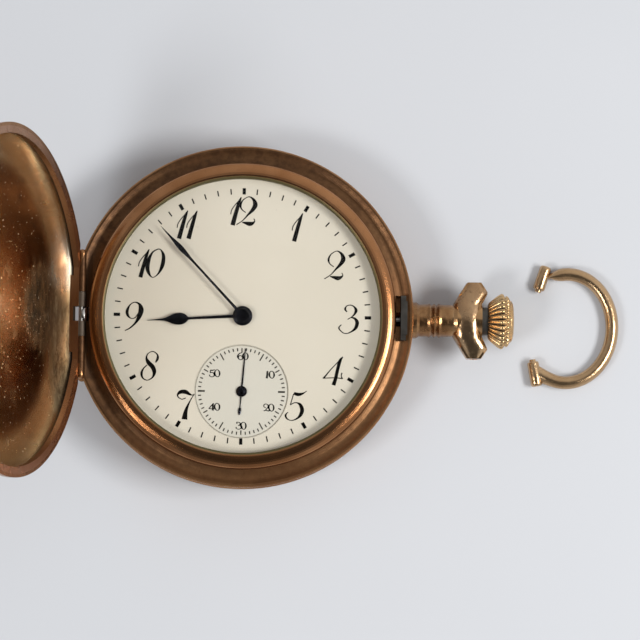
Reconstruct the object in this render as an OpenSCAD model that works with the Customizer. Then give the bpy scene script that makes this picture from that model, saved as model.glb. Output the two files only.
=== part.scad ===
// Full hunter pocket watch lying on its back: lid sprung open, bow taken off and laid beside the crown.
// Millimetres. Origin: centre of the back cover's flat resting face. +Z dial up, +Y to 12, +X to the crown.

/* [Movement] */
// Radius of the main plate
plate_r = 21.59; // [21.3:0.01:23.5]
// Thickness of the main plate
plate_t = 1.9; // [1.6:0.05:2.3]
// Space between the main plate and the bridges
movement_gap = 2.8; // [2.8:0.05:3.4]
// Thickness of the bridges
bridge_t = 1; // [0.7:0.05:1.1]
// How far the dial hides the plate's edge under the bezel
dial_lap = 1.55; // [1.3:0.05:1.9]
// Thickness of the enamel dial
dial_t = 0.55; // [0.4:0.05:0.7]
// Depth of the sunk seconds dial
seconds_sink = 0.15; // [0.05:0.05:0.25]
// Radius of the seconds dial
seconds_dial_r = 6.85; // [5.5:0.05:7.4]

/* [Hands] */
// Length of the minute hand from its axis
minute_len = 17.6; // [14:0.1:18.6]
// Greatest width of the minute hand
minute_w = 0.75; // [0.5:0.05:1.4]
// Length of the hour hand from its axis
hour_len = 13.2; // [10:0.1:15]
// Greatest width of the hour hand's bulb
hour_w = 1.6; // [1.2:0.1:2.6]
// Length of the seconds hand from its axis
seconds_len = 6.3; // [4.5:0.1:6.5]
// Hour that is shown
shown_hour = 8; // [0:1:11]
// Minute that is shown
shown_minute = 52.8; // [0:0.1:60]
// Second that is shown
shown_second = 0.6; // [0:0.1:60]

/* [Case] */
// Width of the bezel's face
bezel_w = 2.35; // [2.1:0.05:3]
// Width of the flange outside the bezel
flange_w = 2.6; // [2.4:0.05:3.4]
// Height of the centre ring
ring_h = 5.8; // [5.7:0.05:6.6]
// Height of the back cover
back_h = 2.6; // [2.4:0.05:3.2]
// Wall of the back cover
back_wall = 0.55; // [0.4:0.05:0.6]
// Radius of the flat that the watch rests on
rest_r = 9; // [6:0.5:14]
// Height of the lid
lid_h = 4.6; // [4.3:0.05:5.2]
// Wall of the lid
lid_wall = 0.5; // [0.4:0.05:0.6]
// Radius of the sphere that the lid's dome follows
dome_r = 150; // [120:5:300]
// Width of the rounded shoulder of the lid
lid_shoulder = 4.3; // [3.6:0.1:5]
// Thickness of the crystal
crystal_t = 0.6; // [0.4:0.05:0.8]
// Rise of the crystal's dome above its edge
crystal_rise = 1.4; // [1:0.1:1.5]
// Angle of the lid from closed
lid_angle = 111; // [0:1:111]

/* [Hinges] */
// Distance from the case's edge in to the hinge axes
hinge_in = 1.5; // [1.2:0.05:1.6]
// Radius of the hinge barrels
barrel_r = 0.62; // [0.5:0.02:0.66]
// Radius of the hinge pins
pin_r = 0.3; // [0.2:0.02:0.35]
// Length of a hinge
hinge_l = 19; // [15:0.5:20]
// Length of the lid's middle knuckle
lid_knuckle_l = 6.4; // [5:0.1:8]

/* [Pendant and crown] */
// Radius of the pendant's neck
neck_r = 2.4; // [2:0.05:2.6]
// Length of the pendant from the case's edge to its front face
pendant_l = 10.1; // [9:0.1:12]
// Half width across the pendant's ears
ear_y = 5.6; // [5.2:0.1:6]
// Greatest radius of the crown
crown_r = 4.2; // [3.6:0.1:4.4]
// Length of the crown
crown_l = 3.8; // [3.4:0.1:4.6]
// Number of ribs round the crown
crown_ribs = 28; // [20:2:32]
// How far the crown is pushed in to free the lid
push_travel = 0.6; // [0.5:0.05:0.65]
// How far the crown is pulled out to set the hands
pull_travel = 1; // [0.6:0.1:1.4]

/* [Bow] */
// Height of the bow across its loop
bow_span = 18; // [17:0.5:22]
// Length of the bow's oval along the pendant
bow_depth = 13.3; // [12:0.1:16]
// Radius of the bow's rod
bow_rod = 0.95; // [0.8:0.05:1.1]
// Distance between the bow's ends
bow_gap = 10; // [9.2:0.1:11]
// Turn of the loose bow as it lies
bow_turn = -4; // [-15:0.5:15]
// Gap from the crown to the loose bow
bow_off = 3.2; // [1:0.1:8]

/* [Going train] */
// Module of the barrel's teeth
barrel_m = 0.21; // [0.2:0.005:0.215]
// Module of the centre wheel's teeth
centre_m = 0.16; // [0.15:0.005:0.165]
// Module of the third wheel's teeth
third_m = 0.14; // [0.135:0.005:0.145]
// Module of the fourth wheel's teeth
fourth_m = 0.12; // [0.11:0.005:0.125]
// Distance from the centre to the seconds axis
seconds_y = 11; // [10.6:0.05:11.4]
// Radius of the escape wheel
escape_r = 3.6; // [3.4:0.05:3.7]
// Radius of the balance wheel
balance_r = 7; // [6.4:0.1:7.1]
// Turns of the hairspring
hair_turns = 5; // [4:1:6]

/* [Hidden] */
$fn = 96;
eps = 0.01;
gap = 0.05;        // running clearance
seat = 0.02;       // clearance of a piece set into another

// The movement's plan sizes are given for this plate and grow with the real one
drawn_plate_r = 21.59;
grow = plate_r / drawn_plate_r;
m_barrel = barrel_m * grow;
m_centre = centre_m * grow;
m_third = third_m * grow;
m_fourth = fourth_m * grow;
wheel_r_escape = escape_r * grow;
wheel_r_balance = balance_r * grow;
sub_dial_r = seconds_dial_r * grow;

view_r = plate_r - dial_lap;
bezel_r = view_r + bezel_w;
case_r = bezel_r + flange_w;

// Levels
z_back = back_h;
z_flange = z_back + ring_h;
z_dial_top = z_flange + 0.1;
z_dial = z_dial_top - dial_t;
z_plate_top = z_dial - gap;
z_plate = z_plate_top - plate_t;
z_bridge_top = z_plate - movement_gap;
z_bridge = z_bridge_top - bridge_t;
z_wind = z_bridge - 0.5;            // underside of the ratchet and crown wheels
wind_t = 0.45;
z_cuvette = z_wind - 0.75;          // underside of the dust cover's flat
cuvette_t = 0.35;
z_axis = (z_back + z_flange) / 2;   // pendant and stem

// Hinges
xh = -(case_r - hinge_in);
chord = hinge_l / 2 + 0.1;
scoop_r = barrel_r + 0.06;
pin_y = hinge_l / 2 - barrel_r;

// Pendant and crown along X
x_case = case_r;
x_front = x_case + pendant_l;
x_ear = x_front - 1.15;
ear_root = 3;          // from the ears' middle back to where they leave the neck
ear_tip = 1.95;        // and forward to their front corner
ear_notch = 0.85;      // how far the front falls back at the crown
ear_corner = 1.45;
ear_flat = 1;
ear_neck_y = 1.2;
ear_z = 1.9;           // half heights: at the neck, at the tips, and of the two edges
ear_end_z = 1.2;
ear_rear_z = 0.6;
ear_front_z = 0.9;
ear_rear_bevel = 1.65;
ear_front_bevel = 1.2;
crown_gap = 0.25 + push_travel;
x_crown = x_front + crown_gap;
stem_r = 0.5;
stem_tip_r = 0.35;
stem_groove_r = 0.4;
sleeve_in = 1.15;
sleeve_out = 1.4;
sleeve_collar_r = 2.1;
collar_x = case_r + 2;
collar_l = 1.4;

// Gear centres, seen from the dial
third_leaves = 10;
centre_teeth = 80;
third_teeth = 75;
fourth_leaves = 10;
fourth_teeth = 80;
escape_leaves = 8;
barrel_teeth = 78;
centre_leaves = 12;
wind_m = 0.28 * grow;
ratchet_teeth = 48;
crown_teeth = 36;
crown_x = 13.2 * grow;
p_c = [0, 0];
p_k = [crown_x, 0];
p_4 = [0, -seconds_y * grow];
p_3 = meet(p_c, p_4, pitch(centre_teeth, third_leaves, m_centre),
           pitch(third_teeth, fourth_leaves, m_third), 1);
p_b = meet(p_c, p_k, pitch(barrel_teeth, centre_leaves, m_barrel),
           pitch(ratchet_teeth, crown_teeth, wind_m), 1);
escape_dir = 200;
p_e = p_4 + pitch(fourth_teeth, escape_leaves, m_fourth) * dir(escape_dir);
pallet_dir = 130;
p_a = p_e + wheel_r_escape / cos(30) * dir(pallet_dir);
lever_l = 5 * grow;
p_w = p_a + lever_l * dir(pallet_dir);
motion_m = 0.2 * grow;
motion_dir = 32;
cannon_leaves = 12;
minute_teeth = 36;
minute_leaves = 10;
hour_teeth = 40;
motion_a = pitch(cannon_leaves, minute_teeth, motion_m);
hour_m = 2 * motion_a / (minute_leaves + hour_teeth);
p_m = motion_a * dir(motion_dir);

// Levels in the movement, measured down from the main plate
z_centre = z_plate - 0.45;
wheel_t = 0.3;
z_escape = z_plate - 0.8;
z_fourth = z_plate - 1.4;
z_third = z_plate - 2.45;
z_barrel = z_plate - 0.7;
barrel_h = 1.95;
z_balance = z_bridge_top - 0.2;
z_roller = z_plate - 1.25;
z_cock = z_bridge - 0.45;
cock_t = 0.7;
arbor_r = 0.22;
pivot_r = 0.12;
pivot_l = 0.6;
bridge_r = 19.29 * grow;

gold = "#8a6036";
gold_light = "#b98d5c";
crown_gold = "#c09a55";
steel = "#8d9096";
dark_steel = "#3a3836";
brass = "#b8964a";
nickel = "#b4b2ac";
enamel = "#e2dccd";
ruby = "#a01838";
blued = "#1a1c22";

function dir(a) = [cos(a), sin(a)];
function pitch(za, zb, m) = m * (za + zb) / 2;
function heading(a, b) = atan2(b[1] - a[1], b[0] - a[0]);
function arc(c, r, a0, a1, n) = [for (i = [0:n]) c + r * dir(a0 + (a1 - a0) * i / n)];

// Point at distance ra from a and rb from b, on the given side of the line from a to b
function meet(a, b, ra, rb, side) =
    let (d = norm(b - a), u = (b - a) / d, x = (d * d + ra * ra - rb * rb) / (2 * d))
    a + x * u + side * sqrt(ra * ra - x * x) * [-u[1], u[0]];

// Turn of wheel b that puts its gaps on wheel a's teeth, with b in direction t from a
function mesh_turn(t, za, turn_a, zb) = t + 180 - 180 / zb + (t - turn_a) * za / zb;

function tooth(i, z, m, half_root, half_tip, r_root, r_tip) =
    let (a = 360 * i / z)
    [r_root * dir(a - half_root), r_tip * dir(a - half_tip), r_tip * dir(a + half_tip),
     r_root * dir(a + half_root)];

// Spur wheel outline: straight flanks, teeth a little thin for backlash
module gear_2d(z, m, turn = 0) {
    r = z * m / 2;
    half_pitch = 0.44 * 90 / z * 2;
    rotate(turn)
        polygon([for (i = [0:z - 1]) each tooth(i, z, m, half_pitch * 1.35, half_pitch * 0.5,
            r - 1.2 * m, r + 0.85 * m)]);
}

module wheel(z, m, t, turn, bore, spokes, rim, hub) {
    r = z * m / 2 - 1.2 * m;
    linear_extrude(t)
        difference() {
            gear_2d(z, m, turn);
            circle(bore);
            if (spokes > 0)
                for (i = [0:spokes - 1])
                    rotate(360 * i / spokes)
                        polygon(concat(arc([0, 0], hub, 16, 360 / spokes - 16, 6),
                            arc([0, 0], r - rim, 360 / spokes - 7, 7, 10)));
        }
}

// Outline from its upper half, given from left to right
function both_sides(half) =
    concat(half, [for (i = [len(half) - 1:-1:0]) [half[i][0], -half[i][1]]]);

module at(p, z) translate([p[0], p[1], z]) children();
module rod(r, z0, z1) translate([0, 0, z0]) cylinder(r = r, h = z1 - z0);
module tube(r_in, r_out, z0, z1)
    translate([0, 0, z0])
        difference() {
            cylinder(r = r_out, h = z1 - z0);
            translate([0, 0, -1]) cylinder(r = r_in, h = z1 - z0 + 2);
        }
module ring_of(points) rotate_extrude() polygon(points);
module block(x0, x1, y0, y1, z0, z1) translate([x0, y0, z0]) cube([x1 - x0, y1 - y0, z1 - z0]);
module along_x(x, z) translate([x, 0, z]) rotate([0, 90, 0]) children();
module along_y(x, y, z) translate([x, y, z]) rotate([-90, 0, 0]) children();
module barrel_bar(r, y0, y1, z) along_y(xh, y0, z) cylinder(r = r, h = y1 - y0, $fn = 48);

// Outer knuckle on side s, from y_in to the hinge's rounded end
module end_knuckle(s, y_in, z) {
    y_end = hinge_l / 2 - barrel_r;
    barrel_bar(barrel_r, s > 0 ? y_in : -y_end, s > 0 ? y_end : -y_in, z);
    translate([xh, s * y_end, z]) sphere(r = barrel_r, $fn = 48);
}

// Case

flange_dip = 0.35;
neck_top = z_flange + 0.6;
neck_out = bezel_r - 0.3;
plate_bore = plate_r + 0.06;
ledge_r = plate_r - 0.7;
ledge_t = 0.5;
inner_bore = plate_r + 0.4;
cuvette_seat_r = inner_bore + 0.5;
front_case_y = lid_knuckle_l / 2 + gap;

band_dip = 0.18;

ring_outline = [[case_r - 0.25, z_back], [case_r, z_back + 0.25], [case_r, z_back + 0.7],
    [case_r - band_dip, z_back + 0.95], [case_r - band_dip, z_flange - 0.95],
    [case_r, z_flange - 0.7], [case_r, z_flange - 0.2], [case_r - 0.2, z_flange]];

module ring_body()
    ring_of(concat([[cuvette_seat_r, z_back]], ring_outline,
        [for (i = [0:8]) let (u = i / 8)
            [case_r - 0.5 - u * (flange_w - 0.6), z_flange - flange_dip * sin(180 * u)]],
        [[neck_out, z_flange], [neck_out, neck_top], [plate_bore, neck_top], [plate_bore, z_plate],
         [ledge_r, z_plate], [ledge_r, z_plate - ledge_t], [inner_bore, z_plate - ledge_t],
         [inner_bore, z_back + 0.45], [cuvette_seat_r, z_back + 0.45]]));

spring_t = 0.25;
spring_w = 2;
spring_x = xh + 0.8;
spring_deep = 2.2;
spring_room = 1.32;
catch_l = 6.5;
catch_t = 0.75;
catch_x0 = bezel_r + push_travel + 0.1;
catch_room = push_travel + 0.15;

module centre_ring() color(gold) {
    difference() {
        union() {
            difference() {
                ring_body();
                block(-case_r - 1, xh, -chord - 2, chord + 2, z_back - 1, z_flange + 1);
            }
            for (s = [-1, 1]) {
                end_knuckle(s, front_case_y, z_flange);
                end_knuckle(s, back_case_y, z_back);
            }
        }
        barrel_bar(pin_r, -pin_y, pin_y, z_flange);
        barrel_bar(pin_r, -pin_y, pin_y, z_back);
        barrel_bar(scoop_r, -front_case_y, front_case_y, z_flange);
        barrel_bar(scoop_r, -back_case_y, back_case_y, z_back);
        along_x(plate_r - 1, z_axis) cylinder(r = sleeve_out + gap, h = 6);
        block(catch_x0 - catch_room, catch_x0 + catch_t + gap, -catch_l / 2 - gap, catch_l / 2 + gap,
            z_axis + 1, z_flange + 1);
        block(spring_x - gap, spring_x + spring_t + gap, -spring_w / 2 - gap, spring_w / 2 + gap,
            z_flange - spring_deep, z_flange + 0.1);
    }
}

bezel_crest = 2;
bezel_side = 0.95;
crest_in = 0.6;
crest_drop = 0.35;
bezel_steps = 9;
groove_z = z_flange + 1.1;
groove_h = 0.45;
crystal_r = view_r + 0.42;

// Rounded face of the bezel, from its outer wall over the crest to the opening
function bezel_face() = concat(
    [for (i = [0:bezel_steps]) let (a = 90 * i / bezel_steps)
        [view_r + crest_in + (bezel_w - crest_in) * cos(a),
         z_flange + bezel_side + (bezel_crest - bezel_side) * sin(a)]],
    [for (i = [1:bezel_steps]) let (a = 90 * i / bezel_steps)
        [view_r + crest_in * (1 - sin(a)), z_flange + bezel_crest - crest_drop * (1 - cos(a))]]);

module bezel() color(gold_light)
    ring_of(concat([[neck_out + seat, z_flange + seat], [bezel_r, z_flange + seat]], bezel_face(),
        [[view_r, groove_z + groove_h + seat], [crystal_r + seat, groove_z + groove_h + seat],
         [crystal_r + seat, groove_z], [view_r, groove_z],
         [view_r, z_dial_top + gap], [plate_bore - seat, z_dial_top + gap],
         [plate_bore - seat, neck_top + seat], [neck_out + seat, neck_top + seat]]));

crystal_z = groove_z + groove_h;
dome_crystal = (crystal_r * crystal_r + crystal_rise * crystal_rise) / (2 * crystal_rise);

module crystal() color("#cfe0e6", 0.35) {
    half = asin(crystal_r / dome_crystal);
    c = [0, crystal_z + crystal_rise - dome_crystal];
    ri = dome_crystal - crystal_t;
    half_in = asin((view_r - 0.5) / ri);
    ring_of(concat([[0, c[1] + ri]],
        [for (i = [1:12]) c + ri * [sin(half_in * i / 12), cos(half_in * i / 12)]],
        [[view_r - 0.3, groove_z], [crystal_r, groove_z], [crystal_r, crystal_z - 0.02]],
        [for (i = [12:-1:0]) c + dome_crystal * [sin(half * i / 12), cos(half * i / 12)]
            + [i == 12 ? -0.15 : 0, 0]]));
}

// Lid, drawn shut and then turned about its hinge

lid_gap = 0.05;
z_lid = z_flange + lid_gap;
lid_top = z_flange + lid_h;

lid_turn = z_lid + 0.55;
shoulder_steps = 14;

// Outline of the lid, drawn in by inset: an oval shoulder that runs on into a shallow dome without a corner
function dome_profile(inset, n) =
    let (slope = asin((case_r - lid_shoulder) / dome_r), zc = lid_top - dome_r,
         rise = zc + dome_r * cos(slope) - lid_turn, q = lid_shoulder / rise * tan(slope),
         sweep = acos(q / (1 - q)), wide = lid_shoulder / (1 - cos(sweep)), tall = rise / sin(sweep))
    concat(
        [for (i = [0:shoulder_steps])
            let (t = sweep * i / shoulder_steps, out = [tall * cos(t), wide * sin(t)])
            [case_r - wide + wide * cos(t), lid_turn + tall * sin(t)] - inset * out / norm(out)],
        [for (i = [1:n])
            [0, zc] + (dome_r - inset) * [sin(slope * (1 - i / n)), cos(slope * (1 - i / n))]]);

module open_lid(a = lid_angle)
    translate([xh, 0, z_flange]) rotate([0, -a, 0]) translate([-xh, 0, -z_flange]) children();

module lid_solid(inset, low = z_lid)
    ring_of(concat([[0, low], [case_r - inset, low]], dome_profile(inset, 10)));

chord_wall = 0.45;

module lid_shell() {
    difference() {
        lid_solid(0);
        difference() {
            lid_solid(lid_wall, z_lid - 1);
            block(xh - 1, xh + chord_wall, -chord, chord, z_lid - 1, lid_top + 1);
        }
        block(-case_r - 1, xh, -chord - 2, chord + 2, z_lid - 1, lid_top + 1);
        barrel_bar(scoop_r, -chord - 1, chord + 1, z_flange);
        spring_notch();
    }
}

module spring_notch() barrel_bar(spring_room, -spring_w / 2 - gap, spring_w / 2 + gap, z_flange);

rim_w = 1;
rim_h = 0.85;
strip_x = xh + 0.98;
strip_in = strip_x - 0.3;
strip_l = 11.2;
strip_h = 1.5;

module front_lid() color(gold) open_lid() lid_shell();

module rim_ring()
    difference() {
        tube(case_r - lid_wall - rim_w, case_r, z_lid, z_lid + rim_h);
        block(-case_r - 1, xh + chord_wall, -chord, chord, z_lid - 1, z_lid + rim_h + 1);
    }

module hinge_strip() {
    block(strip_in, strip_x, -chord, chord, z_lid, z_lid + rim_h);
    block(xh + chord_wall, strip_x, -strip_l / 2, strip_l / 2, z_lid + rim_h, z_lid + strip_h);
    block(strip_in, strip_x, -strip_l / 2, strip_l / 2, z_lid, z_lid + strip_h);
}

module catch_window() {
    r_lip = case_r - lid_wall - 0.35;
    block(catch_x0 - 3, r_lip, -catch_l / 2 - 0.6, catch_l / 2 + 0.6, z_lid - 1, z_lid + 0.35);
    block(catch_x0 - 3, catch_x0 + catch_t + gap, -catch_l / 2 - 0.6, catch_l / 2 + 0.6,
        z_lid - 1, z_lid + rim_h + 1);
}

module lid_knuckle()
    difference() {
        union() {
            barrel_bar(barrel_r, -lid_knuckle_l / 2, lid_knuckle_l / 2, z_flange);
            block(xh, strip_x, -lid_knuckle_l / 2, lid_knuckle_l / 2, z_lid, z_lid + rim_h);
        }
        difference() {
            block(xh - 1, xh + chord_wall, -chord, chord, z_lid, z_lid + rim_h + 1);
            barrel_bar(scoop_r, -chord, chord, z_flange);
        }
        barrel_bar(pin_r + gap, -chord, chord, z_flange);
    }

module lid_rim() color(gold_light) open_lid()
    difference() {
        union() {
            intersection() {
                difference() {
                    union() {
                        rim_ring();
                        hinge_strip();
                    }
                    for (s = [-1, 1])
                        barrel_bar(scoop_r, s > 0 ? front_case_y - gap : -chord - 1,
                            s > 0 ? chord + 1 : -front_case_y + gap, z_flange);
                }
                lid_solid(lid_wall);
            }
            lid_knuckle();
        }
        catch_window();
        spring_notch();
    }

module lid_hinge_pin() color(steel) barrel_bar(pin_r, -pin_y, pin_y, z_flange);

// Leaf that stands in the ring and bends over the pin, in a notch of the lid
module lift_spring() color(steel)
    translate([xh, spring_w / 2, z_flange]) rotate([90, 0, 0]) linear_extrude(spring_w)
        polygon([[spring_x - xh, -spring_deep], [spring_x - xh + spring_t, -spring_deep],
            [spring_x - xh + spring_t, 0], [0.8, 0.52], [-0.1, 0.64], [-0.1, 0.42], [0.6, 0.32],
            [spring_x - xh, -0.1]]);

// Catch at three o'clock: its beak stands over the lid's rim when the lid is shut
beak_out = 0.2;
beak_t = 0.25;
beak_end = 0.8;

module lock_spring() color(dark_steel) {
    x1 = catch_x0 + catch_t;
    beak_z = z_lid + rim_h + lid_gap;
    half_l = catch_l / 2 - beak_end;
    block(catch_x0, x1, -catch_l / 2, catch_l / 2, z_axis + 1.6, z_flange + 0.95);
    block(catch_x0, x1, -half_l, half_l, z_flange + 0.94, beak_z + beak_t);
    block(x1 - eps, x1 + beak_out, -half_l, half_l, beak_z, beak_z + beak_t);
}

// Back

back_case_y = 5.65;
back_mid_y = 1.7;
z_rim_back = z_back - gap;
back_corner = 1.7;

back_rise = back_h - back_corner - 0.2;

function back_z(r) = r < rest_r ? 0 : back_rise * pow((r - rest_r) / (case_r - back_corner - rest_r), 2);
function back_profile(inset, n) =
    let (rx = case_r - back_corner, zc = back_z(rx) + back_corner, slope = 8)
    concat([[0, inset]], [for (i = [0:n]) let (r = rest_r + (rx - rest_r) * i / n) [r, back_z(r) + inset]],
        arc([rx, zc], back_corner - inset, -90 + slope, 0, 8));

module back_solid(inset, top)
    ring_of(concat(back_profile(inset, 8), [[case_r - inset, top], [0, top]]));

module back_cover() color(gold) {
    difference() {
        union() {
            difference() {
                back_solid(0, z_rim_back);
                difference() {
                    back_solid(back_wall, z_back + 1);
                    block(xh - 1, xh + chord_wall, -chord, chord, -1, z_back + 1);
                }
                block(-case_r - 1, xh, -chord - 2, chord + 2, -1, z_back + 1);
                barrel_bar(scoop_r, -chord - 1, chord + 1, z_back);
            }
            for (s = [-1, 1])
                barrel_bar(barrel_r, s > 0 ? back_mid_y : -back_case_y + gap,
                    s > 0 ? back_case_y - gap : -back_mid_y, z_back);
            for (s = [-1, 1])
                translate([0, s * (back_case_y + back_mid_y - gap) / 2, 0])
                    block(xh, xh + chord_wall, -(back_case_y - back_mid_y - gap) / 2,
                        (back_case_y - back_mid_y - gap) / 2, z_back - 1.2, z_rim_back);
        }
        barrel_bar(pin_r + gap, -chord, chord, z_back);
        block(xh - 1, xh + 2, -back_mid_y, back_mid_y, z_back - barrel_r - 0.15, z_back + 1);
    }
}

cuvette_r = cuvette_seat_r - 0.1;

module dust_cover() color(gold_light)
    difference() {
        union() {
            ring_of([[0, z_cuvette], [16, z_cuvette], [19.2, z_cuvette + 0.25],
                [21, z_cuvette + 0.8], [cuvette_r, z_back - 0.55], [cuvette_r, z_back - gap],
                [cuvette_r - 0.8, z_back - gap], [20.7, z_cuvette + 1.15], [19, z_cuvette + 0.6],
                [16, z_cuvette + cuvette_t], [0, z_cuvette + cuvette_t]]);
            block(xh, -cuvette_r + 0.6, -back_mid_y + gap, back_mid_y - gap, z_back - 0.5, z_back - gap);
            barrel_bar(barrel_r, -back_mid_y + gap, back_mid_y - gap, z_back);
        }
        barrel_bar(pin_r + gap, -chord, chord, z_back);
    }

module back_hinge_pin() color(steel) barrel_bar(pin_r, -pin_y, pin_y, z_back);

// Pendant, crown and stem

// Both ears in one faceted block, cut by its outlines from above, from the side and from the crown
module ears()
    translate([x_ear, 0, z_axis])
        intersection() {
            translate([0, 0, -neck_r]) linear_extrude(2 * neck_r)
                polygon(both_sides([[-ear_root, neck_r - seat], [-ear_flat, ear_y], [ear_flat, ear_y],
                    [ear_tip, ear_y - ear_corner], [ear_tip - ear_notch, neck_r - seat]]));
            rotate([90, 0, 0]) translate([0, 0, -ear_y]) linear_extrude(2 * ear_y)
                polygon(both_sides([[-ear_root, ear_rear_z], [ear_rear_bevel - ear_root, ear_z],
                    [ear_tip - ear_front_bevel, ear_z], [ear_tip, ear_front_z]]));
            rotate([90, 0, 90]) translate([0, 0, -ear_root]) linear_extrude(ear_root + ear_tip)
                polygon(both_sides([[-ear_y, ear_end_z], [-ear_neck_y, ear_z], [ear_neck_y, ear_z],
                    [ear_y, ear_end_z]]));
        }

neck_rise = 0.1;       // the turned rings on the neck stand out by this
neck_dip = 0.15;       // and the grooves between them go in by this
neck_ring_x = 2.4;
neck_ring_pitch = 0.35;
neck_rings = 5;
neck_foot = 0.35;
peg_hole_r = 0.6;
peg_hole_l = 1;
sleeve_stop = 0.75;
collar_room = sleeve_stop + 0.85;

function neck_profile() = concat(
    [[0, x_case - 1], [neck_r + neck_foot, x_case - 1], [neck_r + neck_foot - neck_rise, x_case + 0.5],
     [neck_r - seat, x_case + 0.9], [neck_r - seat, x_case + neck_ring_x - neck_ring_pitch]],
    [for (i = [0:neck_rings - 1])
        [neck_r + (i % 2 == 0 ? neck_rise : -neck_dip), x_case + neck_ring_x + i * neck_ring_pitch]],
    [[neck_r - seat, x_case + neck_ring_x + neck_rings * neck_ring_pitch],
     [neck_r - neck_rise, x_ear - ear_root - seat], [neck_r + neck_rise, x_ear - ear_root + 0.5],
     [neck_r, x_ear], [neck_r + neck_rise, x_front], [0, x_front]]);

module pendant() color(gold_light) {
    difference() {
        union() {
            along_x(0, z_axis) ring_of(neck_profile());
            ears();
        }
        along_x(case_r - 3, z_axis) cylinder(r = sleeve_out + gap, h = pendant_l + 4);
        along_x(x_front - collar_room, z_axis) cylinder(r = sleeve_collar_r + gap, h = 2 * collar_room);
        ring_of(concat([[0, z_back]], ring_outline, [[0, z_flange]]));
        for (s = [-1, 1])
            along_y(x_ear, s * ear_y - peg_hole_l, z_axis)
                cylinder(r = peg_hole_r, h = 2 * peg_hole_l, $fn = 32);
    }
}

module push_sleeve() color(dark_steel)
    along_x(0, z_axis)
        ring_of([[sleeve_in, case_r - 1.2], [sleeve_out, case_r - 1.2], [sleeve_out, x_front - sleeve_stop],
            [sleeve_collar_r, x_front - sleeve_stop], [sleeve_collar_r, x_crown - gap],
            [stem_r + gap, x_crown - gap], [stem_r + gap, collar_x + collar_l + pull_travel],
            [sleeve_in, collar_x + collar_l + pull_travel]]);

module stem_collar() color(steel)
    along_x(0, z_axis) tube(stem_r + gap, sleeve_in - gap, collar_x, collar_x + collar_l);

flank_l = 2.1;         // length of the ribbed flank
crown_base_r = 2.45;
groove_r = crown_r - 0.25;
rib_small_r = 0.16;
rib_r = 0.26;
waist_r = groove_r - 0.35;
waist_x = flank_l + 0.4;
bead_x = flank_l + 0.8;
bead_r = 0.36;
bead_in = 0.62;
rim_r = crown_r - 1.1;
crown_end_r = crown_r - 1.9;
crown_soft = 0.15;

function crown_profile() = [[0, 0], [crown_base_r, 0], [crown_base_r + crown_soft, crown_soft],
    [groove_r, flank_l], [groove_r - 0.1, flank_l + crown_soft], [waist_r, waist_x],
    [waist_r + crown_soft, waist_x + 0.2], [rim_r, crown_l - crown_soft], [crown_end_r, crown_l],
    [0, crown_l]];

module crown_rib() {
    rise = groove_r - crown_base_r;
    translate([crown_base_r - seat, 0, crown_soft])
        rotate([0, atan2(rise, flank_l), 0])
            cylinder(r1 = rib_small_r, r2 = rib_r, h = norm([rise, flank_l]), $fn = 16);
    translate([crown_r - bead_in, 0, bead_x]) sphere(r = bead_r, $fn = 16);
}

module crown() color(crown_gold)
    along_x(x_crown, z_axis)
        difference() {
            union() {
                ring_of(crown_profile());
                for (i = [0:crown_ribs - 1]) rotate(360 * i / crown_ribs) crown_rib();
            }
            translate([0, 0, -1]) cylinder(r = stem_r, h = crown_l);
        }

module stem() color(steel)
    along_x(0, z_axis)
        ring_of([[0, clutch_x - 1.8], [stem_tip_r, clutch_x - 1.8], [stem_tip_r, clutch_x - 0.3],
            [stem_r, clutch_x - 0.3], [stem_r, collar_x - 0.1], [stem_groove_r, collar_x - 0.1],
            [stem_groove_r, collar_x - gap], [stem_r, collar_x - gap],
            [stem_r, x_crown + crown_l - 1], [0, x_crown + crown_l - 1]]);

// Loose bow: an open oval with a barrel and a stub at each end

bow_steps = 40;
bow_sides = 12;
bow_end_l = 3.7;
bow_end_r = 0.87;
bow_splay = 14.4;
stub_l = 0.35;
stub_r = 0.5;
bow_rx = (bow_depth + 2) / 2 - bow_rod;
bow_ry = bow_span / 2 - bow_rod;
bow_end_y = bow_gap / 2 + (stub_l + bow_end_l / 2) * cos(bow_splay);
bow_join = 0.55;       // how far the barrels stand beyond the end of the oval
bow_tuck = 0.35;
bow_end_a = 180 - asin(min(0.95, (bow_end_y - bow_tuck) / bow_ry));
bow_end_x = bow_rx * cos(bow_end_a) - bow_join;
bow_swell = 0.3;       // the rod swells by this share over its last part
bow_swell_part = 0.1;
bow_y = -0.5;

function bow_path(u) = let (a = bow_end_a * (2 * u - 1)) [bow_rx * cos(a), bow_ry * sin(a)];
function bow_flare(u) = 1 + bow_swell * pow(max(0, 1 - min(u, 1 - u) / bow_swell_part), 2);

module bow_rod_sweep() {
    rings = [for (i = [0:bow_steps])
        let (u = i / bow_steps, p = bow_path(u), q = bow_path(u + 0.002) - bow_path(u - 0.002),
             n = [-q[1], q[0]] / norm(q), wide = bow_rod * bow_flare(u))
        for (j = [0:bow_sides - 1])
            let (w = 360 * j / bow_sides)
            [p[0] + n[0] * wide * cos(w), p[1] + n[1] * wide * cos(w), bow_rod * sin(w)]];
    sides = [for (i = [0:bow_steps - 1], j = [0:bow_sides - 1])
        let (k = (j + 1) % bow_sides, a = i * bow_sides + j, b = i * bow_sides + k)
        each [[a, a + bow_sides, b], [b, a + bow_sides, b + bow_sides]]];
    start = [[for (j = [0:bow_sides - 1]) j]];
    end = [[for (j = [bow_sides - 1:-1:0]) bow_steps * bow_sides + j]];
    polyhedron(points = rings, faces = concat(sides, start, end));
}

module bow_end(s)
    translate([bow_end_x, s * bow_end_y, 0]) rotate([0, 0, s * (180 - bow_splay)])
        rotate([-90 * s, 0, 0]) {
            translate([0, 0, -bow_end_l / 2]) cylinder(r = bow_end_r, h = bow_end_l, $fn = 32);
            cylinder(r = stub_r, h = bow_end_l / 2 + stub_l, $fn = 24);
        }

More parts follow.
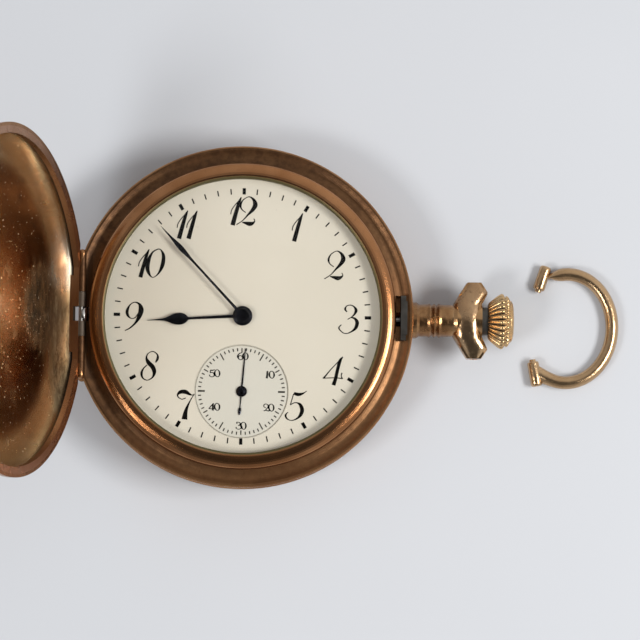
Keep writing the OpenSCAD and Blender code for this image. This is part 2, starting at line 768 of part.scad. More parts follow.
module bow() color(crown_gold)
    translate([x_crown + crown_l + bow_off + bow_end_r - bow_end_x, bow_y, bow_rod])
        rotate(bow_turn) {
            bow_rod_sweep();
            bow_end(1);
            bow_end(-1);
        }

// Dial and hands

dial_r = plate_r - 0.4;
dial_foot_r = 0.35;
z_sub = z_dial_top - seconds_sink;

module dial_feet()
    for (a = [20, 150, 275])
        at((dial_r - 1.6) * dir(a), z_dial - 1) cylinder(r = dial_foot_r, h = 1 + dial_t / 2, $fn = 24);

module dial() color(enamel) {
    difference() {
        union() {
            rod(dial_r, z_dial, z_dial_top);
            dial_feet();
        }
        rod(1.15, z_dial - 1, z_dial_top + 1);
        at(p_4, z_dial - 1) cylinder(r = sub_dial_r, h = 3);
    }
}

module seconds_dial() color(enamel)
    at(p_4, 0) tube(0.32, sub_dial_r - seat, z_dial, z_sub);

minute_reach = minute_len * grow;
hour_reach = hour_len * grow;
seconds_reach = seconds_len * grow;
minute_turn = -6 * shown_minute;
hour_turn = -30 * (shown_hour + shown_minute / 60);
second_turn = -6 * shown_second;
cannon_r = 0.62;
hour_tube_in = cannon_r + gap;
hour_tube_out = 1;
z_hour = z_dial_top + 0.5;
z_minute = z_hour + 0.5;
z_second = z_sub + 0.3;
hand_t = 0.15;
shank = 0.17;

// Hand outline from its half widths at shares of its length
function leaf(half, l) =
    concat([for (p = half) [p[0], p[1] * l]],
        [for (i = [len(half) - 1:-1:0]) [-half[i][0], half[i][1] * l]]);

module minute_hand() color(blued)
    at(p_c, z_minute) rotate(minute_turn) difference() {
        union() {
            linear_extrude(hand_t)
                polygon(leaf([[0.12, 0.4 / minute_reach], [0.16, 0.36], [minute_w * 0.32, 0.55],
                    [minute_w / 2, 0.66], [minute_w * 0.4, 0.8], [0.05, 1]], minute_reach));
            cylinder(r = 1.4, h = hand_t + 0.1);
        }
        translate([0, 0, -1]) cylinder(r = 0.35, h = 3);
    }

module hour_hand() color(blued)
    at(p_c, z_hour) rotate(hour_turn) difference() {
        union() {
            linear_extrude(hand_t)
                polygon(leaf(concat([[shank, 0.4 / hour_reach], [shank, 0.58]],
                    [for (i = [0:8]) let (u = i / 8)
                        [shank + (hour_w / 2 - shank) * sin(180 * pow(u, 0.8)) * (1 - 0.15 * u),
                         0.6 + 0.24 * u]], [[0.04, 1]]), hour_reach));
            cylinder(r = 1.55, h = hand_t + 0.1);
        }
        translate([0, 0, -1]) cylinder(r = hour_tube_out, h = 3);
    }

module seconds_hand() color(dark_steel)
    at(p_4, z_second) rotate(second_turn) {
        linear_extrude(0.1)
            polygon([[-0.09, -1.2], [-0.25, -2.1], [-0.28, -2.5], [0, -3.4], [0.28, -2.5], [0.25, -2.1],
                [0.09, -1.2], [0.09, 0.3], [0.04, seconds_reach], [-0.04, seconds_reach], [-0.09, 0.3]]);
        difference() {
            translate([0, 0, -0.2]) cylinder(r = 0.8, h = 0.4);
            translate([0, 0, -1]) cylinder(r = pivot_r, h = 1.1, $fn = 24);
        }
    }

// Plates and bridges

recess_r = hour_teeth * hour_m / 2 + 0.35;
recess_minute_r = minute_teeth * motion_m / 2 + 0.3;
z_recess = z_plate_top - 0.95;
pinion_m = 0.28;
winding_leaves = 12;
contrate_teeth = 20;
contrate_r = contrate_teeth * pinion_m / 2;
contrate_top = z_axis - winding_leaves * pinion_m / 2 + 0.2;
groove_out = contrate_r + 0.3;
groove_top = contrate_top + 0.08;
crown_boss_r = groove_out + 0.45;
winding_r = winding_leaves * pinion_m / 2;
winding_x = crown_x + contrate_r - 0.35;
winding_w = 0.7;
clutch_l = 1.8;
clutch_x = crown_x + contrate_r - clutch_l - 0.8;
screw_r = 0.4;
head_r = 0.75;
head_t = 0.45;
post_r = 1.3 * grow;
post_ring_r = 17.79 * grow;
barrel_post_dirs = [16, 88, 142];
train_post_dirs = [-24, -62, -99];
cock_foot = 17.59 * grow;
cock_dir = 170;
p_cock = cock_foot * dir(cock_dir);
pallet_foot_a = p_a + grow * [-4.2, -2.6];
pallet_foot_b = p_a + grow * [3.2, 3.6];
pallet_post_r = 0.8;
z_pallet_cock = z_plate - 2.25;
pallet_cock_t = 0.5;
balance_room = wheel_r_balance + 0.7;

function post_at(i, dirs) = post_ring_r * dir(dirs[i]);

module screw_places() {
    for (i = [0:2]) at(post_at(i, barrel_post_dirs), 0) children();
    for (i = [0:2]) at(post_at(i, train_post_dirs), 0) children();
}

module main_plate() color(brass) {
    difference() {
        rod(plate_r, z_plate, z_plate_top);
        rod(recess_r, z_recess, z_plate_top + 1);
        at(p_m, z_recess) cylinder(r = recess_minute_r, h = 3);
        at(p_c, z_plate - 1) cylinder(r = 0.5, h = 4, $fn = 32);
        at(p_4, z_plate - 1) cylinder(r = 0.45, h = 4, $fn = 32);
        for (p = [p_3, p_e, p_a, p_w])
            at(p, z_plate - 1) cylinder(r = 0.45, h = 1.6, $fn = 32);
        at(p_b, z_plate - 1) cylinder(r = 0.75 + gap, h = 1.9, $fn = 32);
        along_x(clutch_x - 3, z_axis) cylinder(r = 0.8, h = plate_r);
        block(clutch_x - 1.2, winding_x + winding_w + 0.3, -2.4, 2.4, z_plate - 1,
            z_plate_top - 0.25);
        screw_places() rod(screw_r, z_plate - 1, z_plate + 1);
        at(p_cock, 0) rod(screw_r, z_plate - 1, z_plate + 1);
        for (p = [pallet_foot_a, pallet_foot_b]) at(p, 0) rod(0.25, z_plate - 1, z_plate + 1);
        for (a = case_screw_dirs) at((plate_r - 1.2) * dir(a), 0) rod(screw_r, z_plate - 1, z_plate + 1.2);
        dial_feet();
    }
}

case_screw_dirs = [50, 230];

module bridge_screws() color(steel) {
    screw_places() screw(z_bridge, z_plate + 1);
    at(p_cock, 0) screw(z_cock, z_plate + 1);
}

module screw(z0, z1)
    difference() {
        union() {
            rod(head_r, z0, z0 + head_t);
            rod(screw_r, z0, z1);
        }
        block(-head_r, head_r, -0.08, 0.08, z0 - 1, z0 + 0.2);
    }

module screw_hole(z0) {
    rod(head_r + gap, z0 - 1, z0 + head_t);
    rod(screw_r, z0 - 1, z_plate + 1);
}

module case_screws() color(steel)
    for (a = case_screw_dirs)
        at((plate_r - 1.2) * dir(a), 0) difference() {
            union() {
                rod(1, z_plate - 1.1, z_plate - 0.5);
                rod(screw_r, z_plate - 1.1, z_plate + 1.2);
            }
            block(-1.1, 1.1, -0.1, 0.1, z_plate - 2, z_plate - 0.85);
        }

module cock_2d(extra) {
    a = heading(p_w, p_cock);
    d = norm(p_cock - p_w);
    translate(p_w) {
        circle(r = 1.7 + extra);
        rotate(a) translate([0, -1.3 - extra]) square([d, 2.6 + 2 * extra]);
    }
    translate(p_cock) circle(r = 1.9 + extra);
}

module bridge_2d(low, high)
    difference() {
        intersection() {
            circle(r = bridge_r);
            translate([-bridge_r - 1, low]) square([2 * bridge_r + 2, high - low]);
        }
        translate(p_w) circle(r = balance_room);
        cock_2d(0.2);
    }

split_y = -2 * grow;
barrel_edge = [-13, 4.5] * grow;
train_edge_x = -11 * grow;

module barrel_bridge() color(nickel)
    difference() {
        union() {
            translate([0, 0, z_bridge])
                linear_extrude(bridge_t) difference() {
                    union() {
                        bridge_2d(split_y, bridge_r + 1);
                        translate(p_k) circle(r = crown_boss_r);
                    }
                    translate([-2 * plate_r, -2 * plate_r])
                        square([2 * plate_r, 2 * plate_r] + barrel_edge);
                }
            for (i = [0:2]) at(post_at(i, barrel_post_dirs), 0) rod(post_r, z_bridge_top - eps, z_plate);
            at(p_k, 0) rod(crown_boss_r, z_bridge_top - eps, groove_top + 0.4);
        }
        for (i = [0:2]) at(post_at(i, barrel_post_dirs), 0) screw_hole(z_bridge);
        at(p_c, 0) rod(0.45, z_bridge - 1, z_bridge_top + 1);
        at(p_b, 0) rod(1.1 + gap, z_bridge - 1, z_bridge_top + 1);
        at(p_k, 0) {
            tube(contrate_r - 0.45, groove_out, z_bridge - 1, groove_top);
            rod(0.5, z_bridge - 1, z_bridge_top + 2);
            block(contrate_r - 0.6, contrate_r + 2, -1.6, 1.6, z_bridge_top, z_bridge_top + 2);
        }
        at(p_b, 0) rod(barrel_tip_r + 0.1, z_bridge_top + eps, z_plate);
        at(p_click, 0) rod(0.35, z_bridge - 1, z_bridge_top + 1);
    }

module train_bridge() color(nickel)
    difference() {
        union() {
            translate([0, 0, z_bridge])
                linear_extrude(bridge_t) difference() {
                    bridge_2d(-bridge_r - 1, split_y - 0.3);
                    translate(p_k) circle(r = crown_boss_r + 0.3);
                    translate([-2 * plate_r, -2 * plate_r])
                        square([2 * plate_r + train_edge_x, 2 * plate_r]);
                }
            for (i = [0:2]) at(post_at(i, train_post_dirs), 0) rod(post_r, z_bridge_top - eps, z_plate);
        }
        for (i = [0:2]) at(post_at(i, train_post_dirs), 0) screw_hole(z_bridge);
        for (p = [p_3, p_4, p_e]) at(p, 0) rod(0.45, z_bridge - 1, z_bridge_top + 1);
    }

module pallet_cock() color(nickel)
    difference() {
        union() {
            for (p = [pallet_foot_a, pallet_foot_b]) {
                at(p, 0) rod(pallet_post_r, z_pallet_cock, z_plate);
                translate([p_a[0], p_a[1], z_pallet_cock]) rotate(heading(p_a, p))
                    translate([0, -0.6, 0]) cube([norm(p - p_a), 1.2, pallet_cock_t]);
            }
            at(p_a, 0) rod(0.8, z_pallet_cock, z_pallet_cock + pallet_cock_t);
        }
        at(p_a, 0) rod(0.3, z_pallet_cock - 1, z_pallet_cock + 1);
        for (p = [pallet_foot_a, pallet_foot_b]) at(p, 0) rod(0.25, z_pallet_cock - 1, z_plate + 1);
    }

stud_r = 3.5;
stud_dir = heading(p_w, p_cock);

module balance_cock() color(nickel)
    difference() {
        union() {
            translate([0, 0, z_cock]) linear_extrude(cock_t) cock_2d(0);
            at(p_cock, 0) rod(1.9, z_cock, z_plate);
            at(p_w + stud_r * dir(stud_dir), 0) rod(stud_pin_r, z_cock + cock_t - eps, z_hair + hair_w);
        }
        at(p_cock, 0) screw_hole(z_cock);
        at(p_w, 0) rod(0.45, z_cock - 1, z_cock + 2);
    }

index_l = 5.2 * grow;
index_t = 0.25;

module regulator() color(steel)
    at(p_w, z_cock - index_t - gap) linear_extrude(index_t)
        difference() {
            union() {
                circle(r = 1.3);
                rotate(stud_dir)
                    polygon([[0.9, -0.5], [index_l, -0.12], [index_l, 0.12], [0.9, 0.5]]);
                rotate(stud_dir + 180) polygon([[0.9, -0.35], [2.4, -0.2], [2.4, 0.2], [0.9, 0.35]]);
            }
            circle(r = 0.5);
        }

module train_jewels() color(ruby) {
    for (p = [p_3, p_e, p_a, p_w]) at(p, 0) tube(pivot_r + gap, 0.45, z_plate, z_plate + 0.6);
    at(p_4, 0) tube(0.2, 0.45, z_plate, z_plate + 0.6);
    for (p = [p_3, p_4, p_e]) at(p, 0) tube(pivot_r + gap, 0.45, z_bridge + 0.2, z_bridge_top - 0.2);
    at(p_c, 0) tube(0.3, 0.45, z_bridge + 0.2, z_bridge_top - 0.2);
    at(p_a, 0) tube(pivot_r + gap, 0.3, z_pallet_cock, z_pallet_cock + 0.4);
    at(p_w, 0) tube(pivot_r + gap, 0.45, z_cock + 0.1, z_cock + 0.5);
}

// Barrel and winding

barrel_tip_r = barrel_teeth * m_barrel / 2 + 0.85 * m_barrel;
barrel_r_in = barrel_teeth * m_barrel / 2 - 0.75;
barrel_turn = 0;
z_barrel_low = z_barrel - barrel_h;
cover_t = 0.3;
floor_t = 0.35;

module barrel() color(brass)
    at(p_b, 0) difference() {
        union() {
            translate([0, 0, z_barrel - 0.45]) linear_extrude(0.45)
                gear_2d(barrel_teeth, m_barrel, barrel_turn);
            rod(barrel_r_in + 0.4, z_barrel_low, z_barrel);
        }
        rod(barrel_r_in, z_barrel_low - 1, z_barrel - floor_t);
        rod(0.75 + gap, z_barrel - 1, z_barrel + 1);
    }

module barrel_cover() color(brass)
    at(p_b, 0) tube(0.75 + gap, barrel_r_in, z_barrel_low, z_barrel_low + cover_t);

spring_turns = 6;
spring_strip = 0.16;

function spiral(r0, r1, turns, off, n) =
    [for (i = [0:n]) let (u = i / n) (r0 + (r1 - r0) * u + off) * dir(360 * turns * u)];
function spiral_back(r0, r1, turns, off, n) =
    [for (i = [n:-1:0]) let (u = i / n) (r0 + (r1 - r0) * u + off) * dir(360 * turns * u)];

module spiral_band(r0, r1, turns, strip, h, steps) {
    n = round(turns * steps);
    linear_extrude(h)
        polygon(concat(spiral(r0, r1, turns, strip / 2, n), spiral_back(r0, r1, turns, -strip / 2, n)));
}

module mainspring() color(blued)
    at(p_b, z_barrel_low + cover_t + gap)
        spiral_band(2.2, barrel_r_in - spring_strip / 2, spring_turns, spring_strip,
            barrel_h - cover_t - floor_t - 2 * gap, 20);

module barrel_arbor() color(steel)
    at(p_b, 0) {
        rod(0.75, z_barrel_low - 0.1, z_plate + 0.6);
        rod(2, z_barrel_low + cover_t + gap, z_barrel - floor_t - gap);
        rod(1.1, z_wind + wind_t, z_barrel_low - gap);
        rod(0.9, z_wind, z_wind + wind_t);
    }

module ratchet_wheel() color(steel)
    at(p_b, z_wind) {
        difference() {
            linear_extrude(wind_t)
                gear_2d(ratchet_teeth, wind_m, mesh_turn(heading(p_k, p_b), crown_teeth, 0, ratchet_teeth));
            translate([0, 0, -1]) cylinder(r = 0.9, h = 3);
        }
        difference() {
            translate([0, 0, -0.3]) cylinder(r = 2, h = 0.3);
            block(-2.1, 2.1, -0.15, 0.15, -1, -0.12);
        }
    }

module crown_wheel() color(steel)
    at(p_k, 0) {
        translate([0, 0, z_wind]) linear_extrude(wind_t)
            difference() {
                gear_2d(crown_teeth, wind_m, 0);
                circle(r = 1.3 + gap);
            }
        difference() {
            tube(contrate_r - 0.35, contrate_r + 0.25, z_wind + wind_t - eps, contrate_top);
            for (i = [0:contrate_teeth - 1])
                rotate(360 * (i + 0.5) / contrate_teeth)
                    translate([contrate_r - 1, 0, z_axis - winding_r - 0.3])
                        rotate([90, 0, 90]) linear_extrude(2)
                            polygon([[-0.21, 0], [0.21, 0], [0.42, 1], [-0.42, 1]]);
        }
    }

module crown_wheel_screw() color(steel)
    at(p_k, 0) difference() {
        union() {
            rod(2.1, z_wind - 0.3, z_wind - gap);
            rod(1.3, z_wind - 0.1, z_bridge);
            rod(0.5, z_wind, z_bridge_top + 0.8);
        }
        block(-2.2, 2.2, -0.15, 0.15, z_wind - 1, z_wind - 0.15);
    }

module winding_pinion() color(steel)
    along_x(winding_x, z_axis) linear_extrude(winding_w)
        difference() {
            rotate(180 / winding_leaves) gear_2d(winding_leaves, pinion_m, 0);
            circle(r = stem_r + gap);
        }

module clutch() color(steel)
    along_x(clutch_x - 0.2, z_axis) {
        tube(stem_r + gap, 0.8, 0, clutch_l - 0.7);
        tube(stem_r + gap, 0.95, clutch_l - 0.75, clutch_l);
    }

// The click's beak ends just outside the ratchet's tips
click_dir = 152;
click_off = ratchet_teeth * wind_m / 2 + 2;
click_l = 3.4;
ratchet_tip = ratchet_teeth * wind_m / 2 + 0.85 * wind_m + gap;
beak_a = acos((click_l * click_l + click_off * click_off - ratchet_tip * ratchet_tip)
    / (2 * click_l * click_off));
p_click = p_b + click_off * dir(click_dir);

module click() color(steel)
    at(p_click, 0) {
        translate([0, 0, z_wind]) linear_extrude(wind_t) difference() {
            union() {
                circle(r = 1);
                rotate(click_dir + 180 + beak_a)
                    polygon([[0, -0.8], [click_l, 0], [click_l - 0.4, 0.45], [0, 0.9]]);
            }
            circle(r = 0.35);
        }
        rod(0.35, z_wind - 0.15, z_bridge_top - 0.1);
    }

module click_spring() color(blued)
    at(p_click, z_wind + 0.1) {
        linear_extrude(0.3)
            polygon(concat(arc([0, 0], 1.55, click_dir - 40, click_dir + 120, 10),
                arc([0, 0], 1.35, click_dir + 120, click_dir - 40, 10)));
        rotate(click_dir - 40) translate([1.45, 0, 0]) cylinder(r = 0.3, h = z_bridge - z_wind - 0.1);
    }

// Train

turn_c = mesh_turn(heading(p_b, p_c), barrel_teeth, barrel_turn, centre_leaves);
turn_3 = mesh_turn(heading(p_c, p_3), centre_teeth, 0, third_leaves);
turn_4 = mesh_turn(heading(p_3, p_4), third_teeth, 0, fourth_leaves);
turn_e = mesh_turn(heading(p_4, p_e), fourth_teeth, 0, escape_leaves);

// Arbor between shoulders z0 and z1, with a pivot at each end
module arbor(z0, z1, low, high) {
    rod(arbor_r, z0, z1);
    rod(pivot_r, z0 - low, z1 + high);
}

module centre_wheel() color(brass)
    at(p_c, z_centre) wheel(centre_teeth, m_centre, wheel_t, 0, 0.35, 5, 0.6, 1.2);

module centre_arbor() color(steel)
    at(p_c, 0) {
        rod(0.35, z_bridge_top + 0.1, z_minute + 0.3);
        rod(0.25, z_bridge + 0.25, z_bridge_top + 0.2);
        translate([0, 0, z_barrel - 0.75]) linear_extrude(0.95)
            gear_2d(centre_leaves, m_barrel, turn_c);
    }

module cannon_pinion() color(steel)
    difference() {
        union() {
            rod(cannon_r, z_recess + 0.15, z_minute);
            translate([0, 0, z_recess + 0.1]) linear_extrude(0.4)
                gear_2d(cannon_leaves, motion_m, 0);
        }
        rod(0.35, z_recess - 1, z_minute + 1);
    }

minute_turn0 = mesh_turn(motion_dir, cannon_leaves, 0, minute_teeth);

module minute_wheel() color(brass)
    at(p_m, 0) difference() {
        union() {
            translate([0, 0, z_recess + 0.15])
                wheel(minute_teeth, motion_m, 0.2, minute_turn0, 0.3, 0, 0, 0);
            translate([0, 0, z_recess + 0.3]) linear_extrude(0.55)
                gear_2d(minute_leaves, hour_m, 0);
        }
        rod(0.35, z_recess - 1, z_recess + 2);
    }

module hour_wheel() color(brass)
    difference() {
        union() {
            translate([0, 0, z_recess + 0.6])
                linear_extrude(0.2)
                    gear_2d(hour_teeth, hour_m, mesh_turn(motion_dir + 180, minute_leaves, 0, hour_teeth));
            rod(hour_tube_out, z_recess + 0.6, z_hour + hand_t + 0.1);
        }
        rod(hour_tube_in, z_recess - 1, z_hour + 1);
    }

module third_wheel() color(brass)
    at(p_3, z_third) wheel(third_teeth, m_third, wheel_t, 0, arbor_r, 5, 0.5, 0.9);

module third_pinion() color(steel)
    at(p_3, 0) {
        arbor(z_bridge_top + gap, z_plate - gap, pivot_l, pivot_l);
        translate([0, 0, z_centre - 0.25]) linear_extrude(0.6)
            gear_2d(third_leaves, m_centre, turn_3);
    }

module fourth_wheel() color(brass)
    at(p_4, z_fourth) wheel(fourth_teeth, m_fourth, 0.25, 0, arbor_r, 5, 0.5, 0.9);

module fourth_pinion() color(steel)
    at(p_4, 0) {
        arbor(z_bridge_top + gap, z_plate - gap, pivot_l, pivot_l);
        rod(pivot_r, z_plate, z_second - 0.1);
        translate([0, 0, z_third - 0.15]) linear_extrude(0.6)
            gear_2d(fourth_leaves, m_third, turn_4);
    }

function club(i) =
    let (a = 24 * i)
    [(wheel_r_escape - 0.75) * dir(a + 9), wheel_r_escape * dir(a + 2.5), wheel_r_escape * dir(a),
     (wheel_r_escape - 0.75) * dir(a + 2)];

escape_turn = pallet_dir + 34.8;

module escape_wheel() color(brass)
    at(p_e, z_escape) linear_extrude(0.25)
        difference() {
            rotate(escape_turn) polygon([for (i = [14:-1:0]) each club(i)]);
            circle(r = arbor_r);
            for (i = [0:3])
                rotate(90 * i)
                    polygon(concat(arc([0, 0], 0.8, 18, 72, 5), arc([0, 0], 2.2, 80, 10, 8)));
        }

module escape_pinion() color(steel)
    at(p_e, 0) {
        arbor(z_bridge_top + gap, z_plate - gap, pivot_l, pivot_l);
        translate([0, 0, z_fourth - 0.15]) linear_extrude(0.55)
            gear_2d(escape_leaves, m_fourth, turn_e);
    }

// Pallets: the lever's own X axis runs from the pallet arbor to the balance
stone_top = wheel_r_escape + 0.26;
stone_low = wheel_r_escape + 0.06;

module pallet_frame() at(p_a, 0) rotate(pallet_dir) children();
function on_wheel(psi, r) = [-wheel_r_escape / cos(30), 0] + r * dir(psi);

module pallet_fork() color(steel)
    pallet_frame() {
        translate([0, 0, z_escape]) linear_extrude(0.25)
            difference() {
                union() {
                    circle(r = 0.7);
                    polygon([on_wheel(-34, stone_top), [0.35, -0.6], [0.6, 0], [0.35, 0.6],
                        on_wheel(34, stone_top), on_wheel(26, stone_top), [-0.42, 0.3],
                        [-0.42, -0.3], on_wheel(-26, stone_top)]);
                    polygon([[0, -0.3], [lever_l - 1.6, -0.16], [lever_l - 1.2, -0.55],
                        [lever_l - 0.72, -0.5], [lever_l - 0.72, 0.5], [lever_l - 1.2, 0.55],
                        [lever_l - 1.6, 0.16], [0, 0.3]]);
                }
                translate([lever_l - 1.15, -0.19]) square([1, 0.38]);
                circle(r = 0.15);
            }
        translate([0, 0, z_pallet_cock + pallet_cock_t + 0.1])
            cylinder(r = 0.15, h = z_plate - 0.1 - z_pallet_cock - pallet_cock_t - 0.1);
        translate([0, 0, z_pallet_cock + 0.05]) cylinder(r = pivot_r, h = z_plate + 0.4 - z_pallet_cock);
    }

module pallet_stones() color(ruby)
    pallet_frame()
        for (s = [-1, 1])
            translate([0, 0, z_escape - 0.02]) linear_extrude(0.29)
                polygon([on_wheel(30 * s - 4, stone_low), on_wheel(30 * s + 4, stone_low),
                    on_wheel(30 * s + 4, stone_top), on_wheel(30 * s - 4, stone_top)]);

rim_t = 0.6;

module balance_wheel() color(crown_gold)
    at(p_w, z_balance) {
        tube(wheel_r_balance - 0.55, wheel_r_balance, 0, rim_t);
        difference() {
            union() {
                rotate(40) block(-wheel_r_balance + 0.3, wheel_r_balance - 0.3, -0.4, 0.4, 0.1, 0.4);
                rod(0.9, 0.1, 0.4);
            }
            rod(arbor_r, -1, 2);
        }
        for (i = [0:11])
            rotate(30 * i + 40 + 15) translate([wheel_r_balance - 0.1, 0, rim_t / 2]) rotate([0, 90, 0])
                cylinder(r = 0.22, h = 0.45, $fn = 16);
    }

module balance_staff() color(steel)
    at(p_w, 0) {
        arbor(z_cock + cock_t + gap, z_plate - gap, 0.5, pivot_l);
        rod(0.4, z_balance - 0.1, z_balance + 0.1);
        rod(0.4, z_balance + 0.4, z_balance + 0.6);
    }

module roller() color(steel)
    at(p_w, 0) rotate(pallet_dir) {
        tube(arbor_r, 1.1, z_roller, z_roller + 0.25);
        translate([0.82, 0, z_roller + 0.2]) cylinder(r = 0.13, h = 0.65, $fn = 16);
    }

z_hair = z_cock + cock_t + 0.12;
hair_w = 0.2;
hair_in = 0.5;
hair_strip = 0.1;
stud_pin_r = 0.35;
hair_out = stud_r - stud_pin_r - hair_strip / 2;

module hairspring() color(blued)
    at(p_w, z_hair) {
        rotate(stud_dir) spiral_band(hair_in, hair_out, hair_turns, hair_strip, hair_w, 24);
        tube(arbor_r, hair_in + 0.05, 0, hair_w);
    }
echo(least_gap_between_hairspring_turns = (hair_out - hair_in) / hair_turns - hair_strip);

centre_ring();
bezel();
crystal();
front_lid();
lid_rim();
lid_hinge_pin();
lift_spring();
lock_spring();
back_cover();
dust_cover();
back_hinge_pin();
pendant();
push_sleeve();
stem_collar();
crown();
stem();
bow();
dial();
seconds_dial();
hour_hand();
minute_hand();
seconds_hand();
main_plate();
barrel_bridge();
train_bridge();
pallet_cock();
balance_cock();
regulator();
bridge_screws();
case_screws();
train_jewels();
barrel();
barrel_cover();
mainspring();
barrel_arbor();
ratchet_wheel();
crown_wheel();
crown_wheel_screw();
winding_pinion();
clutch();
click();
click_spring();
centre_wheel();
centre_arbor();
cannon_pinion();
minute_wheel();
hour_wheel();
third_wheel();
third_pinion();
fourth_wheel();
fourth_pinion();
escape_wheel();
escape_pinion();
pallet_fork();
pallet_stones();
balance_wheel();
balance_staff();
roller();
hairspring();
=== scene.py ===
# %% [markdown]
# # A full hunter pocket watch, dressed over its CAD frame
#
# The watch lies on its back with the front lid sprung open and its loose bow beside the crown.
# The imported CAD model comes in as a fixed frame: every part is already in its place. This lesson
# gives each part its finish, and builds finer pieces where the real watch has more detail than a
# solid needs.

# %% Start: load the frame
import math

import bpy
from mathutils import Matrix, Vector


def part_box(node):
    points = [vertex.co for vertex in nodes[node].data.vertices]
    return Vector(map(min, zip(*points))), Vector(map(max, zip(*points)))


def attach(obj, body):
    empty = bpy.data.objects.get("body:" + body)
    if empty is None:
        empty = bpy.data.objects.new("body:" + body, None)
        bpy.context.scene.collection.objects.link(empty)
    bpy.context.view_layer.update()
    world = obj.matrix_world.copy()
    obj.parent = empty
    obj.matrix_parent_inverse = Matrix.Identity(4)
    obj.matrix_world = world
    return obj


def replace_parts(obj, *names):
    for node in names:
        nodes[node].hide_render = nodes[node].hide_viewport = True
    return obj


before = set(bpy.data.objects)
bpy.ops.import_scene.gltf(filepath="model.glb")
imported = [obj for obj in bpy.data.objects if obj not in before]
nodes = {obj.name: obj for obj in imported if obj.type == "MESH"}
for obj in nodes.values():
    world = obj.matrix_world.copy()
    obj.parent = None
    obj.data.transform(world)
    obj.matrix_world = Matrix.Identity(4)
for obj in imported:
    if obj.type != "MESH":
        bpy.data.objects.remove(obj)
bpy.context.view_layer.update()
MM = 0.001


# %% Sizes that several steps share, in millimetres and degrees
def span(name):
    """The low and the high corner of a CAD node's box, in millimetres."""
    return [[c / MM for c in corner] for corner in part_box(name)]


hinge_at, lid_open = (-23.49, 0, 8.4), 111
crown_low, crown_high = span("crown")
stem_z, crown_ribs = 5.5, 28
print("hinge at", hinge_at, "lid opened by", lid_open, "degrees, crown from", crown_low[0])

# %% [markdown]
# ## The view
#
# The photograph is taken from almost straight above with a long lens, so the dial is a near perfect
# circle. The camera could be set by eye, but a fit to points that are known on the watch also gives
# its small tilt. The sensor stays at its usual width and the focal length gives the narrow angle,
# so no shift is needed.

# %% Camera
scene = bpy.context.scene
scene.view_settings.view_transform = "Standard"
camera = bpy.data.objects.new("camera", bpy.data.cameras.new("camera"))
camera.data.sensor_width = 36
camera.data.lens = 233.84
camera.data.clip_end = 20
camera.location = Vector((-1.3944, -52.1234, 612.773)) * MM
camera.rotation_euler = (0.0851, -0.0221, 0.0125)
scene.collection.objects.link(camera)
scene.camera = camera
print("camera", camera.location, "lens", camera.data.lens)

# %% [markdown]
# ## A way to write shader maths
#
# A material's pattern is a sum of simple maths on a few textures. Placing each Math node by hand is
# slow to read. A small class that wraps a socket and overloads the operators lets a pattern be
# written as a plain expression. Every other node comes from one method that takes its type, its
# settings and what goes into its sockets.


# %% Flow: a number, colour or vector on its way through the nodes
class Flow:
    """One output of a node, with operators that add the Math nodes."""

    def __init__(self, finish, socket):
        self.finish, self.socket = finish, socket

    def maths(self, how, a, b=0.0):
        return self.finish.node("ShaderNodeMath", {"operation": how}, {0: a, 1: b})

    def __add__(self, other):
        return self.maths("ADD", self, other)

    __radd__ = __add__

    def __sub__(self, other):
        return self.maths("SUBTRACT", self, other)

    def __rsub__(self, other):
        return self.maths("SUBTRACT", other, self)

    def __mul__(self, other):
        return self.maths("MULTIPLY", self, other)

    __rmul__ = __mul__

    def __truediv__(self, other):
        return self.maths("DIVIDE", self, other)

    def __pow__(self, other):
        return self.maths("POWER", self, other)

    def sine(self):
        return self.maths("SINE", self)

    def size(self):
        return self.maths("ABSOLUTE", self)

    def larger(self, other):
        return self.maths("MAXIMUM", self, other)

    def step(self, low, high):
        """0 below low and 1 above high, with a soft edge between. low may be the larger one."""
        if low > high:
            return 1 - self.step(high, low)
        return self.finish.node("ShaderNodeMapRange", {"interpolation_type": "SMOOTHSTEP"},
                                {"Value": self, "From Min": low, "From Max": high})


def distance(a, b):
    """How far a point lies from an axis, by its two offsets from it."""
    return (a * a + b * b) ** 0.5


